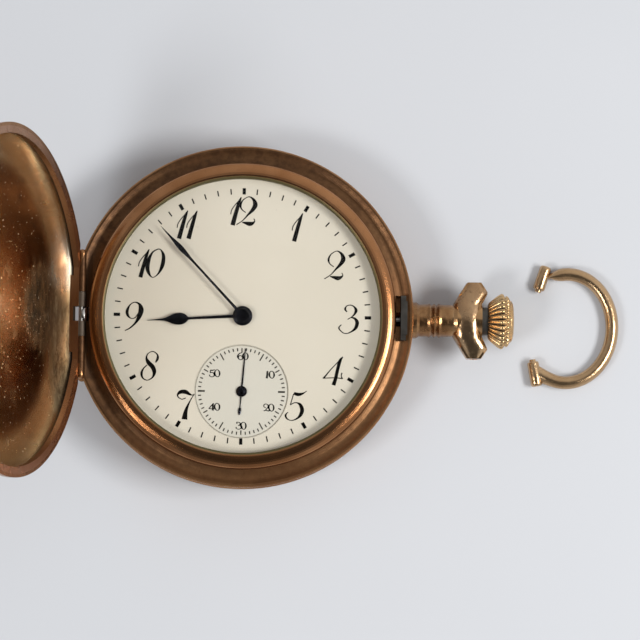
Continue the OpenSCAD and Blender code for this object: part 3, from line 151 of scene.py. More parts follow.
# %% Finish: one material and its nodes
class Finish:
    def __init__(self, name, owner=None):
        """The nodes belong to a new material, or to an owner such as the world."""
        self.owner = owner or bpy.data.materials.new(name)
        self.owner.use_nodes = True
        self.tree = self.owner.node_tree
        self.tree.nodes.clear()

    def node(self, kind, settings=None, sockets=None, out=0):
        """A node of this kind: its settings first, then values or links for its sockets.
        Gives one of its outputs, or nothing if it has none."""
        made = self.tree.nodes.new(kind)
        for key, value in (settings or {}).items():
            setattr(made, key, value)
        for key, value in (sockets or {}).items():
            if isinstance(value, Flow):
                self.tree.links.new(value.socket, made.inputs[key])
            else:
                made.inputs[key].default_value = value
        return Flow(self, made.outputs[out]) if made.outputs else None

    def place(self):
        """Where a point of the piece is, in millimetres, in the frame's axes at rest."""
        at = self.node("ShaderNodeTexCoord", out="Object")
        return self.node("ShaderNodeVectorMath", {"operation": "SCALE"}, {0: at, "Scale": 1 / MM})

    def parts(self, vector):
        """The vector's x, y and z."""
        split = self.node("ShaderNodeSeparateXYZ", None, {0: vector}).socket.node
        return [Flow(self, output) for output in split.outputs]

    def turned_back(self, vector, centre, degrees):
        """The place turned about a line along y through centre."""
        return self.node("ShaderNodeVectorRotate", {"rotation_type": "Y_AXIS"},
                         {"Vector": vector, "Center": centre, "Angle": math.radians(degrees)})

    def stretch(self, vector, by):
        return self.node("ShaderNodeVectorMath", {"operation": "MULTIPLY"}, {0: vector, 1: by})

    def cloud(self, vector, scale, detail=3.0, rough=0.55):
        """Soft noise from about 0 to 1, with `scale` spots to a millimetre."""
        return self.node("ShaderNodeTexNoise", None, {
            "Vector": vector, "Scale": scale, "Detail": detail, "Roughness": rough})

    def mix(self, share, a, b):
        """A colour between a and b."""
        a, b = [x if isinstance(x, Flow) else (*x, 1) for x in (a, b)]
        return self.node("ShaderNodeMix", {"data_type": "RGBA"}, {0: share, 6: a, 7: b}, out=2)

    def bump(self, height, depth):
        """A bump whose height is given as a share of `depth` millimetres."""
        return self.node("ShaderNodeBump", None, {"Height": height, "Distance": depth * MM})

    def surface(self, **sockets):
        """The Principled shader, with underscores for the spaces in its sockets' names."""
        return self.node("ShaderNodeBsdfPrincipled", None, {
            key.replace("_", " "): (*value, 1) if isinstance(value, tuple) else value
            for key, value in sockets.items()})

    def done(self, shader):
        self.node("ShaderNodeOutputMaterial", None, {"Surface": shader})
        print("finish", self.owner.name, "nodes", len(self.tree.nodes))
        return self.owner


# %% [markdown]
# ## Floor and studio light
#
# The watch lies on a pale table under plain soft light. Two large area lamps, right and left, give
# the long soft shadows. A room that is pale around, brighter on the window side and dim where the
# camera stands gives the metal something to show: flat gold looks brown from above because it
# reflects that gloom, and each curve picks up the lamps and walls. The table itself is lit by an
# even glow, so its tone stays plain.

# %% Floor
half = 3  # metres
floor_mesh = bpy.data.meshes.new("floor")
floor_mesh.from_pydata([(-half, -half, 0), (half, -half, 0), (half, half, 0), (-half, half, 0)],
                       [], [(0, 1, 2, 3)])
floor = bpy.data.objects.new("floor", floor_mesh)
scene.collection.objects.link(floor)
paper = Finish("pale_table")
fleck = paper.cloud(paper.place(), 0.02, 2.0)
floor_mesh.materials.append(paper.done(paper.surface(
    Base_Color=paper.mix(fleck, (0.595, 0.615, 0.655), (0.63, 0.65, 0.69)), Roughness=0.8,
    Specular_IOR_Level=0.2)))

# %% World
scene.world = bpy.data.worlds.new("studio")
sky = Finish("studio", scene.world)
right, far, up = sky.parts(sky.node("ShaderNodeTexCoord", out="Generated"))
bright_side = 0.6 * right + 0.3 * far
overhead = 0.94 * up - 0.34 * far
walls = sky.mix(bright_side.step(-0.6, 0.7), (0.36, 0.36, 0.37), (0.82, 0.81, 0.79))
air = sky.mix(overhead.step(0.74, 0.97), walls, (0.06, 0.06, 0.06))
glow = (0.42, 0.42, 0.42)  # what lights the table and every other matt surface
air = sky.mix(sky.node("ShaderNodeLightPath", out="Is Diffuse Ray"), air, glow)
sky.node("ShaderNodeOutputWorld", None,
         {"Surface": sky.node("ShaderNodeBackground", None, {"Color": air})})
print("world ready, nodes", len(sky.tree.nodes))


# %% Lamps
def lamp(name, towards, away, wide, tall, watts, tint):
    """An area lamp, `away` metres from the dial in the direction `towards`. Its wide side lies
    level, and wide and tall are metres too."""
    light = bpy.data.lights.new(name, "AREA")
    light.shape, light.size, light.size_y = "RECTANGLE", wide, tall
    light.energy, light.color = watts, tint
    made = bpy.data.objects.new(name, light)
    at = Vector(towards).normalized()
    made.location = at * away
    made.rotation_euler = at.to_track_quat("Z", "Y").to_euler()
    scene.collection.objects.link(made)
    print("lamp", name, "at", tuple(round(c, 3) for c in made.location))


lamp("lamp_right", (0.93, -0.15, 1.0), away=0.55, wide=0.26, tall=0.13, watts=2.05,
     tint=(1.0, 0.985, 0.96))
lamp("lamp_left", (-0.74, -0.42, 1.0), away=0.75, wide=0.2, tall=0.18, watts=1.7,
     tint=(1.0, 0.99, 0.97))

# %% [markdown]
# ## Finishes of the case
#
# The case is brass with a skin of gold that has worn and tarnished: brown on its flange, brighter
# where fingers rub it. Shade is painted too: into the grooves of the crown, round the lid's knuckle,
# beside the hinge pin and over the upper left of the flange. One colour of metal would look like
# plastic, so the tone drifts between two golds, dull spots break the shine and very fine scratches
# bend the reflections. All of it comes from noise at a few sizes, so no picture is needed.


# %% Old gold
def old_gold(name, bright, deep, shine, spots=0.5, scratch=0.012, dirt_and_shade=None,
             dirt_and_shade_tone=(0, 0, 0), waves=0.0, dull=0.3):
    """shine is the roughness of clean gold, and scratch is how deep its scratches are, in
    millimetres. dirt_and_shade, if given, is a function of the finish and the place that gives, 0
    to 1, how far a point takes dirt_and_shade_tone: tarnish, and on some parts painted shade; dull
    is how matt that darkening is. waves are the soft dents of long wear, as a multiple of the
    scratches' depth."""
    gold = Finish(name)
    at = gold.place()
    drift = gold.cloud(at, 0.11, 3.0).step(0.3, 0.7)
    spot = gold.cloud(at, 1.3, 6.0, 0.65).step(0.56, 0.74) * spots
    hair = gold.cloud(gold.stretch(at, (1.0, 6.0, 2.0)), 3.5, 5.0, 0.7)
    colour = gold.mix(spot, gold.mix(drift, bright, deep), tuple(0.45 * c for c in deep))
    rough = shine + 0.10 * drift + 0.22 * spot + 0.06 * hair
    metal = 1.0
    if dirt_and_shade:
        film = dirt_and_shade(gold, at)
        colour = gold.mix(film, colour, dirt_and_shade_tone)
        rough = rough + dull * film
        metal = 1 - 1.6 * dull * film
    height = hair + 0.8 * spot
    if waves:
        height = height + waves * gold.cloud(at, 0.6, 2.0)
    return gold.done(gold.surface(
        Base_Color=colour, Metallic=metal, Roughness=rough, Normal=gold.bump(height, scratch)))


# %% Where tarnish and painted shade lie on each part of the case
def pin_distance(x, z):
    return distance(x - hinge_at[0], z - hinge_at[2])


def flange_dirt(finish, at):
    """The flat ring under the shut lid has mottled tarnish, and painted shade makes it darkest at
    its upper left. It runs from 22.4 to 24.8 mm out and lies above 7.7 mm. Beside the hinge pin a
    black band is painted as the shadow in the recess there."""
    x, y, z = finish.parts(at)
    r = distance(x, y)
    mottle = finish.cloud(at, 0.9, 5.0, 0.7).step(0.35, 0.7)
    flat = r.step(22.2, 22.6) * r.step(24.84, 24.7) * z.step(7.5, 7.9)
    # tarnish over the flat, with painted shade growing towards the upper left
    film = flat * (0.52 + 0.3 * (y - x).step(-30, 12) + 0.18 * mottle)
    far = pin_distance(x, z)
    # painted shadow: black beside the hinge pin, where the recess lies in shade
    painted_gap_shadow = far.step(0.8, 0.92) * far.step(1.9, 1.5) * y.size().step(9.9, 9.3)
    return film.larger(painted_gap_shadow)


def bezel_dirt(finish, at):
    """A ragged line where the bezel meets the crystal."""
    x, y, _ = finish.parts(at)
    ragged = distance(x, y) + 0.12 * finish.cloud(at, 0.9, 4.0, 0.6)
    return ragged.step(20.52, 20.36)


def groove_dirt(finish, at):
    """Painted shade between the crown's ribs: the angle about its axis tells how near the next
    groove is.
    """
    along, across, height = finish.parts(at)
    turn = across.maths("ARCTAN2", height - stem_z, across)
    ribbed = along.step(crown_low[0] + 3.2, crown_low[0] + 2.2)
    return (crown_ribs / 2 * turn).sine().size().step(0.62, 0.22) * ribbed


def neck_dirt(finish, at):
    """Brown on the neck, beside the case."""
    x, _, _ = finish.parts(at)
    mottle = finish.cloud(at, 0.8, 4.0).step(0.35, 0.65)
    return x.step(31.2, 29.8) * (0.55 + 0.35 * mottle)


def knuckle_dirt(finish, at):
    """Painted shade: the lid's middle knuckle is darkened nearly black, as the hinge round it lies
    in shade.
    """
    x, y, z = finish.parts(at)
    return pin_distance(x, z).step(1.0, 0.8) * y.size().step(3.4, 3.2) * 0.9


print("dirt for flange, bezel, grooves, neck and knuckle")

# %% Case, bezel, crown
case_gold = old_gold(
    "case_gold", (0.40, 0.20, 0.085), (0.27, 0.125, 0.05), shine=0.18)
# tarnish on the flange, with painted shade at its upper left and a painted shadow beside the hinge
# pin
ring_gold = old_gold(
    "ring_gold", (0.42, 0.22, 0.10), (0.28, 0.13, 0.055), shine=0.16, spots=0.6, scratch=0.014,
    dirt_and_shade=flange_dirt, dirt_and_shade_tone=(0.058, 0.024, 0.007), dull=0.2)
bezel_gold = old_gold(
    "bezel_gold", (0.42, 0.205, 0.095), (0.29, 0.125, 0.05), shine=0.10, spots=0.3, scratch=0.008,
    dirt_and_shade=bezel_dirt, dirt_and_shade_tone=(0.10, 0.08, 0.03))
# its middle knuckle is painted dark as the shade of the hinge
rim_gold = old_gold(
    "rim_gold", (0.46, 0.26, 0.16), (0.34, 0.17, 0.09), shine=0.2,
    dirt_and_shade=knuckle_dirt, dirt_and_shade_tone=(0.085, 0.075, 0.06))
crown_gold = old_gold(
    "crown_gold", (0.60, 0.41, 0.235), (0.44, 0.28, 0.15), shine=0.12, spots=0.4, waves=6)
# near-black painted shade lies between the ribs
ribbed_gold = old_gold(
    "ribbed_gold", (0.68, 0.47, 0.24), (0.54, 0.34, 0.16), shine=0.14, spots=0.15, scratch=0.003,
    dirt_and_shade=groove_dirt, dirt_and_shade_tone=(0.018, 0.010, 0.006))
pendant_gold = old_gold(
    "pendant_gold", (0.62, 0.39, 0.20), (0.38, 0.21, 0.095), shine=0.11, scratch=0.010,
    dirt_and_shade=neck_dirt, dirt_and_shade_tone=(0.20, 0.095, 0.04), waves=14, dull=0.02)
saddle_gold = old_gold(
    "saddle_gold", (0.60, 0.41, 0.24), (0.38, 0.23, 0.125), shine=0.14, spots=0.9, scratch=0.008,
    waves=16)

# %% [markdown]
# The inside of the lid was polished like a mirror. Where the shoulder curves up its gold is painted
# paler, partly as a painted sheen of the lamps, with a painted highlight beside the hinge; below it,
# grime and painted shade darken the shoulder, and the lip all round is painted near black as shade.
# Its tarnish and these painted tones follow the lid's own round shape, so the pattern is laid out in
# the shut lid's axes: the place is turned back about the hinge, and then a radius is enough for the
# brown ring, and x and y place the dark patch at the hinge.

# %% Inside of the lid: noise, rings and crumbs
lid = Finish("lid_inside")
at = lid.turned_back(lid.place(), hinge_at, lid_open)
x, y, z = lid.parts(at)
r = distance(x, y)
drift = lid.cloud(at, 0.12, 4.0, 0.6).step(0.35, 0.65)
stain = lid.cloud(at, 0.35, 6.0, 0.7).step(0.52, 0.68)
streak = lid.cloud(lid.stretch(at, (1.0, 0.3, 1.0)), 1.4, 6.0, 0.75)
hair = lid.cloud(lid.stretch(at, (2.0, 5.0, 1.0)), 3.0, 5.0, 0.7)
edge = r + 0.8 * lid.cloud(at, 0.25, 4.0, 0.6)
# the shoulder, where a paler gold is painted as a sheen
shoulder = edge.step(18.6, 20.8)
brown_ring = edge.step(16.6, 18.0) * edge.step(20.9, 19.8)
crumbs = lid.cloud(at, 2.2, 2.0, 0.5).step(0.69, 0.73) * r.step(19.5, 18.5)
# painted shade: the lid's lip, where it steps down to the rim, is painted near black
lip = z.step(10.1, 9.6) * r.step(22.0, 22.6)
print("lid inside: noise and rings, nodes", len(lid.tree.nodes))

# %% The dark patch beside the hinge, and the painted shade and painted highlight round it
from_patch = distance((x + 16.4) / 5.6, (y - 0.4) / 6.4)
patch = (from_patch + 1.6 * (streak - 0.5)).step(1.15, 0.7)
patch_tone = lid.mix((x + 4.0 * streak).step(-14.5, -12.0),
                     (0.10, 0.055, 0.024), (0.022, 0.022, 0.014))
# grime and painted shade: darker brown on the lower half of the shoulder by the hinge, dimming the
# highlight there
grime_and_shade = x.step(-17.5, -20.0) * y.step(3.6, 1.2) * (0.5 + 0.5 * streak.step(0.35, 0.6))
# painted highlight: a near-white spot on the shoulder beside the hinge
painted_highlight = (x.step(-17.0, -19.5) * y.step(2.5, 5.0) * y.step(13.5, 9.5)
        * (0.4 + 0.6 * streak.step(0.3, 0.55)))
print("patch, grime and worn gold, nodes", len(lid.tree.nodes))

# %% Gold, stains, patch and shine together
gold = lid.mix(drift, (0.66, 0.40, 0.19), (0.48, 0.26, 0.11))
# the shoulder's paler gold is partly a painted sheen of the lamps
wall_gold_and_sheen = lid.mix(drift, (0.90, 0.73, 0.44), (0.64, 0.44, 0.22))
for share, tone in ((shoulder, wall_gold_and_sheen),
                    (painted_highlight, (1.0, 0.93, 0.74)),
                    (brown_ring * (0.25 + 0.35 * stain), (0.12, 0.06, 0.028)),
                    (stain * 0.35, (0.20, 0.11, 0.05)),
                    (patch * (0.6 + 0.4 * streak.step(0.35, 0.6)), patch_tone),
                    (grime_and_shade * 0.9, (0.10, 0.055, 0.025)),
                    (lip, (0.03, 0.018, 0.010)),
                    (crumbs * 0.5, (0.50, 0.42, 0.30))):
    gold = lid.mix(share, gold, tone)
# the lid's floor is not quite true: it leans towards the hinge, which moves what it mirrors
lean = 31.0 * x
lid_gold = lid.done(lid.surface(
    Base_Color=gold, Metallic=1 - 0.2 * patch - 0.4 * crumbs - 0.4 * lip,
    Roughness=(0.10 + 0.05 * drift + 0.08 * stain + 0.12 * patch + 0.25 * (crumbs + grime_and_shade + lip)
               + 0.10 * shoulder),
    Normal=lid.bump(hair + 0.8 * stain + 4.0 * crumbs + lean, 0.002)))

# %% [markdown]
# ## Finishes of the movement, the dials and the hands
#
# Steel and brass are drawn in one direction, so their noise is stretched along the grain. The
# nickel has waves, as such plates are striped. The dials are fired enamel under a clear coat, and
# the ink on them is matt and nearly black.


# %% Steel, brass
def grained(name, light, dark, shine, grain=(0.4, 8.0, 0.4)):
    made = Finish(name)
    at = made.place()
    line = made.cloud(made.stretch(at, grain), 1.6, 4.0, 0.6)
    patch = made.cloud(at, 0.35, 3.0).step(0.35, 0.65)
    return made.done(made.surface(
        Base_Color=made.mix(patch * 0.6 + line * 0.4, light, dark), Metallic=1.0,
        Roughness=shine + 0.14 * line, Normal=made.bump(line, 0.008)))


steel = grained("steel", (0.56, 0.55, 0.53), (0.36, 0.34, 0.32), 0.22)
dark_steel = grained("dark_steel", (0.13, 0.125, 0.115), (0.05, 0.045, 0.04), 0.34)
blued_steel = grained("blued_steel", (0.018, 0.019, 0.024), (0.008, 0.008, 0.011), 0.14)
gilt = grained("gilt_brass", (0.70, 0.49, 0.20), (0.58, 0.38, 0.14), 0.24, (3.0, 3.0, 0.3))

# %% Nickel with waves
striped = Finish("nickel")
stripe = 1.4  # from one wave to the next
at = striped.place()
along, across, _ = striped.parts(at)
wave = (across * (2 * math.pi / stripe) + 0.6 * (along * 0.35).sine()).sine()
grain = striped.cloud(striped.stretch(at, (0.5, 6.0, 0.5)), 2.5, 4.0)
nickel = striped.done(striped.surface(
    Base_Color=striped.mix(grain, (0.66, 0.64, 0.60), (0.56, 0.54, 0.50)), Metallic=1.0,
    Roughness=0.26 + 0.06 * wave + 0.05 * grain,
    Normal=striped.bump(wave * 0.5 + 0.2 * grain, 0.02)))


# %% Enamel and ink
def fired_enamel(name, low, high):
    made = Finish(name)
    at = made.place()
    mottle = made.cloud(at, 0.09, 3.0)
    speck = made.cloud(at, 1.5, 2.0, 0.5).step(0.73, 0.78)
    return made.done(made.surface(
        Base_Color=made.mix(speck * 0.25, made.mix(mottle, low, high), (0.40, 0.35, 0.28)),
        Roughness=0.22 + 0.06 * mottle, Normal=made.bump(mottle, 0.03), Coat_Weight=0.5,
        Coat_Roughness=0.06))


def fired_ink(name, dark, pale):
    made = Finish(name)
    tone = made.cloud(made.place(), 2.2, 3.0).step(0.3, 0.7)
    return made.done(made.surface(
        Base_Color=made.mix(tone, dark, pale), Roughness=0.4 + 0.1 * tone,
        Specular_IOR_Level=0.05))


enamel = fired_enamel("enamel", (0.69, 0.64, 0.54), (0.75, 0.705, 0.61))
small_enamel = fired_enamel("small_enamel", (0.64, 0.615, 0.54), (0.70, 0.68, 0.61))
black_ink = fired_ink("black_ink", (0.0012, 0.0010, 0.0008), (0.004, 0.0034, 0.003))
grey_ink = fired_ink("grey_ink", (0.030, 0.027, 0.022), (0.065, 0.058, 0.048))
# a grey painted shade for the seconds dial's sunk, ground edge
edge_shade_ink = fired_ink("edge_shade_ink", (0.26, 0.235, 0.19), (0.36, 0.33, 0.27))

# %% Ruby
red = Finish("ruby")
depth = red.cloud(red.place(), 1.2, 2.0)
ruby = red.done(red.surface(
    Base_Color=red.mix(depth, (0.42, 0.02, 0.06), (0.62, 0.05, 0.12)),
    Roughness=0.08 + 0.04 * depth, Coat_Weight=0.6))

# %% [markdown]
# ## The crystal
#
# The crystal is a thin dome of clear glass. Real glass lets the lamps through, but a ray tracer
# that refracts shadow rays makes the dial dark and noisy. So the glass turns transparent for shadow
# rays and for light that the dial scatters, and stays glass for the eye.

# %% Crystal
glass = Finish("crystal")
smear = glass.cloud(glass.place(), 0.3, 4.0, 0.6).step(0.45, 0.8)
clear = glass.surface(Base_Color=(1.0, 1.0, 1.0), Roughness=0.004 + 0.01 * smear, IOR=1.2,
                      Transmission_Weight=1.0)
through = glass.node("ShaderNodeBsdfTransparent", None, {"Color": (0.97, 0.97, 0.96, 1)})
for ray in ("Is Diffuse Ray", "Is Shadow Ray"):
    clear = glass.node("ShaderNodeMixShader", None, {
        0: glass.node("ShaderNodeLightPath", out=ray), 1: clear, 2: through})
crystal_glass = glass.done(clear)

# %% [markdown]
# ## Dress the CAD nodes
#
# Each node of the frame belongs to a material slot of the record. A CAD node keeps its exact shape
# and place, and only its material is changed, so the whole movement under the dial is finished in
# one loop.

# %% Give each node its finish
by_node = {"centre_ring": ring_gold, "pendant": pendant_gold, "lid_rim": rim_gold,
           "seconds_dial": small_enamel, "centre_arbor": blued_steel,
           "cannon_pinion": blued_steel}
by_slot = {"case_gold": case_gold, "bezel_gold": bezel_gold, "lid_inside": lid_gold,
           "crown_gold": crown_gold, "crystal": crystal_glass, "steel": steel,
           "dark_steel": dark_steel, "blued_steel": blued_steel, "enamel": enamel, "brass": gilt,
           "nickel": nickel, "ruby": ruby}
for name, node in nodes.items():
    slots = [s.material.name.split(".")[0] for s in node.material_slots if s.material]
    node.data.materials.clear()
    node.data.materials.append(by_node.get(name) or by_slot[slots[0]])
    print(name, slots, len(node.data.polygons))

# %% [markdown]
# ## Pieces in code
#
# Fine pieces are lists of points and faces in millimetres. A small class keeps both lists, joins
# rings of points with faces, and at the end makes a mesh that is smooth with creases at real edges,
# has its finish and rides on its body.


# %% Draft: a piece that is being drawn
class Draft:
    def __init__(self):
        self.points, self.faces = [], []

    def loft(self, points, sides, closed=False):
        """Joins rings of points, each with this many sides. The first and the last ring get a face
        of their own, unless the rings close on themselves."""
        first, rings = len(self.points), len(points) // sides
        self.points += points
        for i in range(rings if closed else rings - 1):
            a, b = first + i * sides, first + (i + 1) % rings * sides
            for j in range(sides):
                k = (j + 1) % sides
                self.faces.append((a + j, a + k, b + k, b + j))
        if not closed:
            last = first + (rings - 1) * sides
            self.faces.append(tuple(reversed(range(first, first + sides))))
            self.faces.append(tuple(range(last, last + sides)))

    def turn(self, profile, at, steps=48, hollow=False):
        """Turns a profile of (radius, height) about the z axis through `at`. A hollow one joins its
        last ring to its first."""
        ring = []
        for r, z in profile:
            r = max(r, 0.0005)
            for k in range(steps):
                a = 2 * math.pi * k / steps
                ring.append((at[0] + r * math.cos(a), at[1] + r * math.sin(a), z))
        self.loft(ring, steps, hollow)

    def piece(self, name, body, slot, finish, crease=60):
        """Makes the mesh with its finish and lets it ride on its body. Edges sharper than crease,
        in degrees, stay sharp."""
        mesh = bpy.data.meshes.new(name)
        mesh.from_pydata([tuple(c * MM for c in p) for p in self.points], [], self.faces)
        mesh.polygons.foreach_set("use_smooth", [True] * len(mesh.polygons))
        mesh.set_sharp_from_angle(angle=math.radians(crease))
        mesh.materials.append(finish)
        made = bpy.data.objects.new(name, mesh)
        scene.collection.objects.link(made)
        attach(made, body)
        print("piece", name, "faces", len(self.faces))
        return made


# %% [markdown]
# ## Numerals
#
# The hour numerals are slanted italic figures fired into the enamel: hairlines that swell into
# thick strokes, as a pointed pen draws them. A font would bring a file or the wrong letters, so
# each figure is a few pen strokes: points with a width, joined by a smooth curve, and turned into a
# ribbon as thin as ink.


# %% A pen stroke as a ribbon
def smooth_line(points, steps=8):
    """A Catmull-Rom curve through points that carry any number of values."""
    made, last = [], len(points) - 1
    for i in range(last):
        four = [points[max(0, min(last, i + k))] for k in (-1, 0, 1, 2)]
        for s in range(steps):
            t = s / steps
            made.append(tuple(
                0.5 * (2 * q + (r - p) * t + (2 * p - 5 * q + 4 * r - v) * t * t
                       + (3 * q - p - 3 * r + v) * t ** 3) for p, q, r, v in zip(*four)))
    return made + [tuple(points[-1])]


ink = 0.02  # how thick it lies on the enamel


def ribbon(draft, stroke, z, place=lambda x, y: (x, y), steps=8):
    """Adds one stroke, points (x, y, width), as a thin closed ribbon at height z. place maps the
    stroke's own (x, y) to the dial."""
    line, made = smooth_line(stroke, steps), []
    for i, (x, y, w) in enumerate(line):
        p, q = line[max(0, i - 1)], line[min(len(line) - 1, i + 1)]
        dx, dy = q[0] - p[0], q[1] - p[1]
        size = math.hypot(dx, dy) or 1
        nx, ny = -dy / size * w / 2, dx / size * w / 2
        left, right = place(x + nx, y + ny), place(x - nx, y - ny)
        made += [(*left, z), (*right, z), (*right, z + ink), (*left, z + ink)]
    draft.loft(made, 4)


# %% The figures, each one unit high, and "i" for a plain 1
figures = {
    "0": [[(.60, 1.0, .02), (.40, .87, .05), (.26, .55, .12), (.25, .25, .11), (.40, .01, .02),
           (.60, .12, .04), (.75, .42, .11), (.79, .75, .10), (.70, .96, .04), (.60, 1.0, .02)]],
    "1": [[(.13, .0, .12), (.22, .35, .11), (.34, .78, .085), (.42, .985, .015)],
          [(.33, .85, .02), (.20, .70, .018), (.09, .53, .016), (.06, .38, .014)]],
    "2": [[(.38, .45, .015), (.24, .56, .03), (.20, .70, .055), (.28, .88, .03), (.48, 1.0, .018),
           (.64, .91, .07), (.71, .73, .125), (.63, .56, .10), (.46, .37, .05), (.28, .17, .022),
           (.06, .02, .022)],
          [(.26, .11, .01), (.40, .08, .08), (.53, .055, .115), (.64, .09, .07), (.70, .16, .02),
           (.66, .24, .012)]],
    "3": [[(.30, .76, .02), (.23, .85, .07), (.28, .96, .035), (.40, 1.0, .016), (.53, .95, .05),
           (.61, .82, .11), (.56, .69, .07), (.45, .58, .03), (.32, .50, .012)],
          [(.44, .565, .01), (.57, .53, .08), (.65, .40, .13), (.61, .22, .115), (.48, .09, .06),
           (.30, .01, .022), (.17, .03, .02), (.06, .12, .04), (.02, .20, .05), (.06, .27, .035),
           (.11, .31, .012)]],
    "4": [[(.76, .99, .02), (.62, .84, .022), (.36, .56, .022), (.13, .28, .05), (.07, .24, .03)],
          [(.07, .235, .012), (.30, .25, .02), (.55, .255, .022), (.76, .23, .02)],
          [(.76, .99, .02), (.66, .85, .11), (.58, .55, .115), (.51, .22, .12), (.44, .0, .135)],
          [(.73, .43, .05), (.71, .33, .03), (.75, .22, .05)]],
    "5": [[(.31, .935, .09), (.45, .90, .11), (.58, .92, .075), (.68, .97, .03), (.75, 1.02, .01)],
          [(.30, .92, .03), (.25, .74, .02), (.19, .53, .02)],
          [(.19, .53, .012), (.31, .60, .02), (.43, .605, .04), (.54, .53, .10), (.60, .37, .125),
           (.56, .21, .11), (.45, .08, .06), (.29, .0, .022), (.15, .01, .022), (.06, .08, .05),
           (.03, .17, .06), (.08, .25, .03), (.12, .27, .012)]],
    "6": [[(.80, 1.0, .02), (.55, .88, .04), (.34, .65, .09), (.25, .38, .125), (.30, .12, .08),
           (.48, .0, .02), (.66, .10, .05), (.74, .32, .10), (.68, .52, .06), (.54, .58, .018),
           (.40, .50, .02), (.31, .38, .02)]],
    "7": [[(.42, .74, .012), (.28, .70, .014), (.16, .77, .03), (.14, .86, .05), (.24, .95, .10),
           (.40, .955, .115), (.54, .88, .07), (.64, .85, .02), (.72, .88, .012)],
          [(.70, .87, .015), (.58, .66, .03), (.47, .42, .07), (.41, .20, .12), (.385, .0, .16)]],
    "8": [[(.62, .62, .04), (.69, .76, .08), (.67, .90, .045), (.52, 1.0, .016), (.36, .93, .03),
           (.30, .78, .06), (.37, .62, .13), (.52, .46, .145), (.58, .28, .12), (.52, .10, .05),
           (.34, .0, .016), (.18, .08, .05), (.14, .24, .08), (.20, .40, .045), (.33, .53, .014)]],
    "9": [[(.52, .60, .01), (.42, .46, .014), (.28, .44, .022), (.17, .55, .06), (.15, .70, .07),
           (.24, .90, .03), (.40, 1.0, .016), (.56, .94, .055), (.63, .75, .12), (.57, .51, .10),
           (.44, .28, .05), (.25, .10, .03), (.08, .01, .022)]],
    "i": [[(.10, .0, .13), (.25, .5, .12), (.40, 1.0, .11)],
          [(.40, .98, .03), (.27, .84, .03)]],
}
widths = {"0": .56, "1": .33, "2": .57, "3": .55, "4": .66, "5": .58, "6": .62, "7": .58, "8": .58,
          "9": .58, "i": .42}
middles = {"0": .52, "1": .24, "2": .40, "3": .33, "4": .42, "5": .36, "6": .50, "7": .42,
           "8": .42, "9": .38, "i": .25}
print("figures", len(figures), "strokes", sum(len(strokes) for strokes in figures.values()))


# %% Writing with them
def write(draft, text, centre, tall, z, heavy, least, slant=0.0, steps=8, tight=0.0, wide=1.0):
    """Writes figures upright about a centre on the dial. slant leans them back from the pen's own
    italic, heavy widens the strokes, no stroke is drawn thinner than least, tight draws two
    figures together, and wide broadens them."""
    def place(x, y):
        return centre[0] + tall * (wide * x + slant * y), centre[1] + tall * y

    pen = (tight * (len(text) - 1) - sum(widths[c] for c in text)) / 2
    for c in text:
        shift = pen + widths[c] / 2 - middles[c]
        pen += widths[c] - tight
        for stroke in figures[c]:
            ribbon(draft, [(x + shift, y - 0.5, max(least, w * heavy)) for x, y, w in stroke],
                   z, place, steps)


def clock(degrees):
    """The direction of a clock angle, and the one square to it, on its right."""
    turn = math.radians(degrees)
    return (math.sin(turn), math.cos(turn)), (math.cos(turn), -math.sin(turn))


def bar(draft, inner, outer, wide, degrees, centre, z):
    """A straight mark between two radii at a clock angle."""
    out, _ = clock(degrees)
    ribbon(draft, [(centre[0] + out[0] * r, centre[1] + out[1] * r, wide) for r in (inner, outer)],
           z, steps=1)


dial_top, sub_top = span("dial")[1][2], span("seconds_dial")[1][2]
print("dial top", round(dial_top, 3), "seconds dial top", round(sub_top, 3))

# %% Hour figures
hour_ring, hour_tall, hairline = 15.35, 4.2, 0.032
# each figure's shift from its hour as the painted dial has it, and how heavy its strokes are
set_by_eye = {1: (.16, -.14, 1.25), 2: (0, -.05, 1.25), 3: (.03, -.26, .97), 4: (0, -.13, 1.0),
              5: (.18, .29, 1.08), 7: (-.4, .2, 1.25), 8: (-.09, .22, 1.05), 9: (-.48, -.3, 1.5),
              10: (-.1, -.12, 1.18), 11: (-.59, .02, 1.28), 12: (-.16, .05, 1.3)}
drawn_together = {12: .09, 10: .03}
draft = Draft()
for hour, (dx, dy, heavy) in set_by_eye.items():
    out, _ = clock(30 * hour)
    write(draft, str(hour), (hour_ring * out[0] + dx, hour_ring * out[1] + dy), hour_tall, dial_top,
          heavy, hairline, tight=drawn_together.get(hour, 0))
draft.piece("hour_figures", "case", "enamel", black_ink)

# %% Minute marks
draft = Draft()
for minute in range(60):
    inner, outer, wide = (17.88, 18.70, 0.18) if minute % 5 else (17.83, 18.76, 0.48)
    bar(draft, inner, outer, wide, 6 * minute, (0, 0), dial_top)
draft.piece("minute_marks", "case", "enamel", black_ink)

# %% [markdown]
# ## The seconds dial
#
# The small dial is let into the big one, a little lower, with a ground edge. Its marks are greyer
# and finer than the minute marks, and its figures are small and upright, so the same pen strokes
# are written with the slant taken out.

# %% Seconds marks
sub_low, sub_high = span("seconds_dial")
sub_at = ((sub_low[0] + sub_high[0]) / 2, (sub_low[1] + sub_high[1]) / 2)
print("seconds dial at", sub_at, "radius", (sub_high[0] - sub_low[0]) / 2)
mark_end = 6.34
draft = Draft()
for second in range(60):
    inner, wide = 5.90, 0.17
    if second % 30 == 15:
        inner, wide = 5.33, 0.26
    elif second % 10 == 5:
        inner = 5.23
    elif second % 10 == 0:
        inner = 5.67
    bar(draft, inner, mark_end, wide, 6 * second, sub_at, sub_top)
draft.piece("seconds_marks", "case", "enamel", grey_ink)

